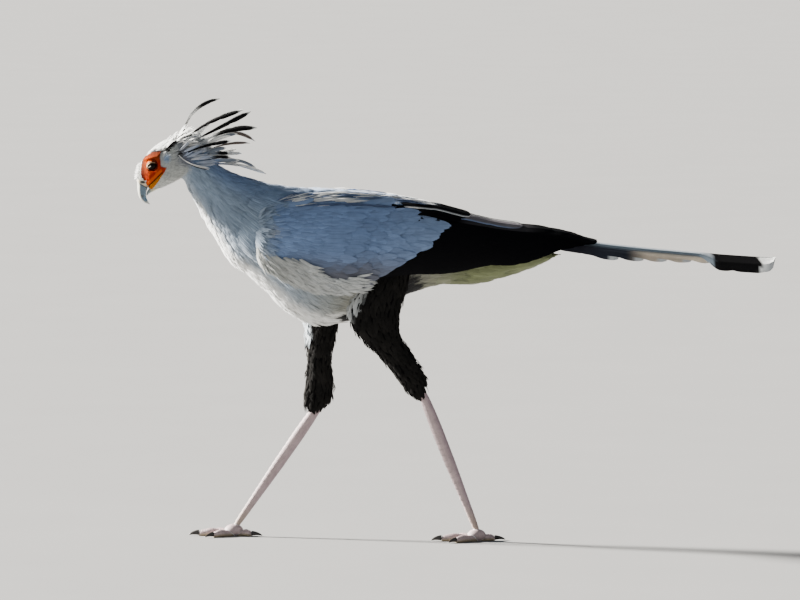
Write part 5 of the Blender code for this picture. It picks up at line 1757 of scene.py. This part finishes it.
# Each row is a plume's root (x, z), a middle point and its tip, y at root and tip, half its width, and
# its colours at base, middle and tip.
CREST = (
    ((-0.533, 0.780), (-0.5095, 0.8345), (-0.4584, 0.8600), 0.004, 0.010, 0.0048, "black white black"),
    ((-0.520, 0.785), (-0.480, 0.8145), (-0.412, 0.8400), -0.004, -0.012, 0.0054, "black black black"),
    ((-0.510, 0.778), (-0.456, 0.8055), (-0.3985, 0.8345), 0.008, 0.022, 0.0058, "black black black"),
    ((-0.503, 0.768), (-0.450, 0.7980), (-0.3855, 0.8050), -0.009, -0.024, 0.0064, "white black black"),
    ((-0.498, 0.757), (-0.445, 0.7920), (-0.3905, 0.7755), 0.012, 0.030, 0.0052, "white white brown"),
    ((-0.520, 0.7580), (-0.482, 0.7720), (-0.437, 0.7800), -0.0345, -0.031, 0.0046, "black black black"),
    ((-0.496, 0.752), (-0.450, 0.7695), (-0.4010, 0.7715), 0.014, 0.036, 0.0038, "pale brown brown"),
    ((-0.494, 0.742), (-0.467, 0.7560), (-0.439, 0.7545), -0.020, -0.036, 0.0042, "pale grey black"),
    ((-0.490, 0.738), (-0.453, 0.750), (-0.417, 0.7515), 0.015, 0.034, 0.0046, "pale grey pale"),
    ((-0.4875, 0.7330), (-0.436, 0.7435), (-0.3880, 0.7275), -0.012, -0.028, 0.0034, "blue dark grey"),
    ((-0.486, 0.730), (-0.428, 0.7310), (-0.3690, 0.7130), 0.010, 0.012, 0.0046, "blue pale white"),
    ((-0.508, 0.765), (-0.4965, 0.7950), (-0.477, 0.8150), 0.002, 0.000, 0.0042, "white white white"),
    ((-0.538, 0.7525), (-0.5145, 0.7362), (-0.4770, 0.7275), -0.0345, -0.044, 0.0022, "white white pale"),
    ((-0.538, 0.7525), (-0.5145, 0.7362), (-0.4770, 0.7275), 0.0345, 0.044, 0.0022, "white white pale"),
    ((-0.530, 0.7440), (-0.5085, 0.7315), (-0.4790, 0.7245), -0.0355, -0.043, 0.0017, "slate black black"),
    ((-0.530, 0.7440), (-0.5085, 0.7315), (-0.4790, 0.7245), 0.0355, 0.043, 0.0017, "slate black black"),
    ((-0.514, 0.770), (-0.5030, 0.7900), (-0.486, 0.8070), -0.010, -0.014, 0.0040, "white white white"),
    ((-0.504, 0.762), (-0.480, 0.7835), (-0.446, 0.8020), 0.004, 0.008, 0.0042, "white white pale"),
    ((-0.502, 0.756), (-0.476, 0.7760), (-0.438, 0.7900), -0.012, -0.022, 0.0042, "white pale white"),
    ((-0.500, 0.746), (-0.476, 0.760), (-0.446, 0.766), -0.016, -0.030, 0.0050, "blue grey grey"),
    ((-0.498, 0.740), (-0.474, 0.748), (-0.436, 0.748), -0.017, -0.034, 0.0054, "blue grey black"),
    ((-0.498, 0.740), (-0.470, 0.752), (-0.428, 0.760), 0.017, 0.036, 0.0054, "blue grey pale"),
    ((-0.496, 0.734), (-0.464, 0.742), (-0.420, 0.742), -0.018, -0.032, 0.0054, "blue blue grey"),
    ((-0.496, 0.734), (-0.462, 0.738), (-0.412, 0.736), 0.018, 0.030, 0.0054, "blue blue pale"),
    ((-0.498, 0.752), (-0.466, 0.7800), (-0.424, 0.7920), 0.000, 0.004, 0.0042, "white white grey"),
)
PLUME_TURN = math.radians(32)
PLUME_PARTS = np.linspace(0, 1, 26)
PLUME_TAPER = ((0, 0.15, 0.45, 0.75, 0.9, 1.0), (0.30, 0.36, 0.72, 1.0, 0.85, 0.08))
PLUME_THICK = 0.0009
PLUME_CAMBER = 0.12


def plume_rings(root, middle, tip, root_y, tip_y, half_width, turn, rng):
    """A plume through its root, middle and tip, narrow at its root and widest near its end."""
    start = np.array([root[0], root_y, root[1]])
    end = np.array([tip[0], tip_y, tip[1]])
    half_way = np.array([middle[0], (root_y + tip_y) / 2, middle[1]])
    pull = 2 * half_way - (start + end) / 2
    part = PLUME_PARTS[:, None]
    centres = start * (1 - part) ** 2 + pull * 2 * part * (1 - part) + end * part**2
    along = unit((pull - start) * (1 - part) + (end - pull) * part)
    across = unit(np.cross(along, LEVEL)) * math.cos(turn) + LEVEL * math.sin(turn)
    across = unit(across - along * (across * along).sum(-1, keepdims=True))
    share = np.interp(PLUME_PARTS, *PLUME_TAPER)
    both = np.stack([share, share * 0.9], -1)
    for _ in range(4):
        at, edge = rng.uniform(0.3, 0.95), rng.integers(2)
        both[:, edge] *= 1 - rng.uniform(0.1, 0.35) * np.clip(1 - np.abs(PLUME_PARTS - at) / 0.05, 0, 1)
    return quill(centres, across, np.cross(along, across), half_width * both, PLUME_THICK, PLUME_CAMBER)


print("plumes in the table", len(CREST))

# %% Crest
lofts = []
rng = np.random.default_rng(60)
for k, (root, middle, tip, root_y, tip_y, half_width, colours) in enumerate(CREST):
    base, mid, end = (PLUME_COLOURS[word] for word in colours.split())
    turn = PLUME_TURN * (1 if k % 2 else -1) * rng.uniform(0.7, 1.2)
    rings = plume_rings(root, middle, tip, root_y, tip_y, half_width, turn, rng)
    part = PLUME_PARTS[:, None] + 0.05 * np.abs(QUILL_ACROSS)
    tint = mix(base, mid, smooth(0.22, 0.46, part))
    tint = mix(tint, end, smooth(0.42, 0.70, part))
    tint = mix(tint, PLUME_PALE, 0.75 * (QUILL_ACROSS > 0.9) * smooth(0.2, 0.5, part))
    tint = mix(tint, WHITE, smooth(0.95, 0.99, part) * 0.9)
    lofts.append((rings, QUILL_SPOTS, tint))
crest = loft_piece("crest_plumes", lofts, quill_finish, 40)
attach(crest, "root")
print("plumes", len(lofts))

# %% [markdown]
# ## Shanks, feet and claws
# A secretary bird walks on very long bare shanks. Big plates overlap down their front like roof
# tiles, so a saw-toothed profile gives them. The short, stout toes have plates on top too and lie
# flat on the floor. Shank, palm and toes are fused, so that the whole leg is one skin.

# %% Leg and claw materials
# Between the plates, leg skin is a net of small scales, finer than a millimetre: relief shows it, and
# colour too, with random stains and painted shade in the creases between the scales.
leg_finish, tree, shader = new_finish("leg_skin", 0.5, Specular_IOR_Level=0.4)
where = object_place(tree)
cells = add(tree, "ShaderNodeTexVoronoi", {"Vector": where, "Scale": 420.0}, feature="DISTANCE_TO_EDGE")
fine = noise(tree, where, 900.0, 3.0)
stain = spread(tree, noise(tree, where, 90.0, 4.0), 0.3, 0.7, 0.82, 1.08)
# Darker in the creases between the small scales: painted shade, with random stains.
stain_and_crease_shade = math_node(tree, "MULTIPLY", stain, spread(tree, cells.outputs["Distance"], 0.0, 0.12, 0.72, 1.0))
tree.links.new(scaled(tree, tint_of(tree), stain_and_crease_shade), shader.inputs["Base Color"])
relief = math_node(tree, "ADD", spread(tree, cells.outputs["Distance"], 0.0, 0.15, 0.0, 1.0), fine)
bump(tree, shader, relief, 0.5, 0.0004)

claw_finish, tree, shader = new_finish("claw_horn", 0.35, Specular_IOR_Level=0.5)
where = object_place(tree)
shade = spread(tree, noise(tree, where, 260.0, 4.0, 1.0), 0.3, 0.7, 0.7, 1.3)
tree.links.new(scaled(tree, tint_of(tree), shade), shader.inputs["Base Color"])
bump(tree, shader, noise(tree, where, 1200.0, 3.0), 0.25, 0.0003)
print("finishes", leg_finish.name, claw_finish.name)

# %% Leg colours and sizes
LEG_SKIN = paint(196, 174, 174)
# The back of the shank, darker: painted shade.
LEG_PAINTED_SHADE = paint(176, 154, 160)
LEG_WARM = paint(190, 172, 142)
CLAW_DARK = paint(52, 47, 44)
# The solids' own surface: each row is half the shank's depth and half its width, from heel to foot.
SHANK = np.array([
    (0.0134, 0.0112), (0.0130, 0.0099), (0.0113, 0.0081),
    (0.0102, 0.0074), (0.0093, 0.0071), (0.0096, 0.0084),
])
SHANK_PARTS = np.linspace(-0.045, 1.0, 150)[:, None]
SHANK_MIDDLE = 0.4775
SHANK_SIDES = 40
PLATES = 24
PLATE_RISE = 0.0009
TOE_PLATES = 13
TOE_PLATE_RISE = 0.0007
PALM_SIZE = np.array([0.0185, 0.0150, 0.0125])
PALM_HEIGHT = 0.0115
PALM_BACK = -0.002
CLAW_BEND = math.radians(52)
CLAW_ROOT = 0.60
CLAW_TIP_HEIGHT = 0.0016
# Plates and creases stand out, so the skin itself lies this far under the solids' surface.
LEG_INSET = 0.0003
print("plates on a shank", PLATES)


# %% Leg forms
def ring_turns(sides, start=0.0):
    """The angles of a ring's points, and how far round each one is."""
    share = (np.arange(sides) + start) / sides
    return 2 * np.pi * share, share


def plate_rise(place, facing, height):
    """How far an overlapping plate stands out: most at its lower edge, and only on the side it is on."""
    part = place % 1
    return height * part**1.5 * smooth(0.15, 0.5, facing)


def painted_plate_shade(place, facing):
    """Painted shade under the plates: a surface with plates is darker where one ends."""
    return (1 - 0.35 * (plate_rise(place, facing, 1.0) < 0.04) * smooth(0.2, 0.5, facing))[..., None]


def on_floor(rings, height=0.0):
    """Rings with nothing below a height."""
    rings[..., 2] = np.maximum(rings[..., 2], height)
    return rings


def shank_loft(ankle, joint):
    """A bare shank, with plates down its front and lower ones down its back."""
    front = unit(np.cross(LEVEL, unit(joint - ankle)))
    front = front if front[0] < 0 else -front
    turn, share = ring_turns(SHANK_SIDES)
    facing = np.cos(turn)
    size = along_rows(SHANK, SHANK_PARTS[:, 0].clip(0, 1) * (len(SHANK) - 1))
    blunt = np.clip(1 - np.abs(SHANK_PARTS - SHANK_MIDDLE) / (1 - SHANK_MIDDLE), 0, 1) ** 0.18
    rise = plate_rise(SHANK_PARTS * PLATES, facing, PLATE_RISE)
    rise = rise + plate_rise(SHANK_PARTS * PLATES * 1.4 + 0.3, -facing, PLATE_RISE * 0.4)
    reach = (size[:, :1] * blunt + rise - 0.0004) * facing
    wide = size[:, 1:] * blunt * np.sin(turn)
    middle = ankle + (joint - ankle) * SHANK_PARTS[..., None]
    rings = middle + front * reach[..., None] + LEVEL * wide[..., None]
    # Darker on the back and under each plate's edge: painted shade.
    tint = mix(LEG_SKIN, LEG_PAINTED_SHADE, smooth(0.2, -0.8, facing)) * painted_plate_shade(SHANK_PARTS * PLATES, facing)
    tint = mix(tint, LEG_WARM, np.broadcast_to(0.5 * smooth(0.75, 1.0, SHANK_PARTS), wide.shape))
    return rings, share, tint


def palm_loft(ground):
    """The flattened ball where the toes meet, cut off at the floor."""
    rows = np.linspace(0.02, 0.98, 26)[:, None] * np.pi
    columns, share = ring_turns(40)
    ball = side_by_side(-np.cos(rows), np.sin(rows) * np.cos(columns), np.sin(rows) * np.sin(columns))
    centre = ground + np.array([PALM_BACK, 0, PALM_HEIGHT])
    return on_floor(centre + ball * (PALM_SIZE - LEG_INSET)), share, LEG_SKIN


def toe_loft(start, heading, level, length, radius):
    """A short toe, flat below, with three swellings, plates on top and creased pads."""
    part = np.linspace(0, 1, 64)[:, None]
    turn, share = ring_turns(28, 0.5)
    up = np.sin(turn)
    swell = 1 + 0.10 * np.cos(3 * np.pi * part)
    end = np.sqrt(1 - 0.55 * np.clip((part - 0.92) / 0.08, 0, 1) ** 2)
    thick = radius * (1 + 0.30 * (0.4 - part)) * swell * end - LEG_INSET
    plates = plate_rise(part * TOE_PLATES, up, TOE_PLATE_RISE)
    pads = -0.0006 * smooth(0.75, 1.0, np.cos(6 * np.pi * part)) * smooth(0.3, -0.2, up)
    across = np.cos(turn) * (thick + pads)
    height = thick * 0.82 + up * (thick + plates + pads)
    rings = start + heading * length * part[..., None] + level * across[..., None] + UP * height[..., None]
    # Darker under each plate's edge: painted shade.
    tint = mix(LEG_SKIN, LEG_WARM, smooth(0.3, -0.5, up)) * painted_plate_shade(part * TOE_PLATES, up)
    return on_floor(rings), share, tint


def claw_loft(root, heading, level, length, radius):
    """A blunt claw that bends down until its tip is just above the floor."""
    part = np.linspace(0, 1, 22)[:, None]
    turn, share = ring_turns(18)
    base = radius * CLAW_ROOT
    bend = part * CLAW_BEND
    centre = root + heading * length * np.sin(bend) / math.sin(CLAW_BEND)
    centre[:, 2] = base + CLAW_TIP_HEIGHT - base * part[:, 0] ** 2
    upright = heading * np.sin(bend) + UP * np.cos(bend)
    thick = base * (1 - part) ** 0.7 + 0.0003
    rings = centre[:, None] + level * (np.cos(turn) * thick * 0.8)[..., None]
    rings = rings + upright[:, None] * (np.sin(turn) * thick)[..., None]
    return on_floor(rings, 0.0005), share, CLAW_DARK


print("sides of a toe's ring", len(ring_turns(28)[0]))

# %% Legs
ANKLES = {"left": (-0.0610, 0.2810), "right": (-0.2690, 0.2540)}
FOOT_JOINTS = {"left": (0.0430, 0.0170), "right": (-0.4320, 0.0170)}
# Each row is a toe's name, its angle from straight ahead, its length, half its width, its claw's length.
TOES = (
    ("inner", 34, 0.046, 0.0078, 0.019),
    ("middle", -2, 0.066, 0.0086, 0.020),
    ("outer", -38, 0.050, 0.0078, 0.018),
    ("hind", 168, 0.030, 0.0076, 0.021),
)
TOE_START = 0.004
CLAW_START = 0.0003

for name, side in SIDES.items():
    ankle, joint = (np.array([x, side * HIP, z]) for x, z in (ANKLES[name], FOOT_JOINTS[name]))
    ground = joint * (1, 1, 0)
    leg = loft_piece("leg_" + name, [shank_loft(ankle, joint)], leg_finish, 55)
    parts = [palm_loft(ground)]
    for toe_name, angle, length, radius, claw_length in TOES:
        angle = math.radians(angle)
        heading = np.array([-math.cos(angle), -side * math.sin(angle), 0])
        level = np.array([-heading[1], heading[0], 0])
        start = ground + heading * TOE_START
        parts.append(toe_loft(start, heading, level, length, radius))
        claw = claw_loft(start + heading * (length + CLAW_START), heading, level, claw_length, radius)
        made = loft_piece(f"claw_{name}_{toe_name}_horn", [claw], claw_finish, 50)
        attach(made, "root")
        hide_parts(f"claw_{name}_{toe_name}")
    fuse(leg, [loft_piece("part", [loft], leg_finish, 55) for loft in parts])
    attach(leg, "root")
    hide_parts("tarsus_" + name, "foot_" + name)
    print(leg.name, len(leg.data.polygons), "faces")

# %% [markdown]
# ## Sizes
# The boxes of the solids and of the dressed bird are measured; the dressed bird must stay their size.

# %% Sizes and finish
sizes = {"cad": cad_box, "visual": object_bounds()}
sizes = {key: [[float(value) for value in corner] for corner in box] for key, box in sizes.items()}
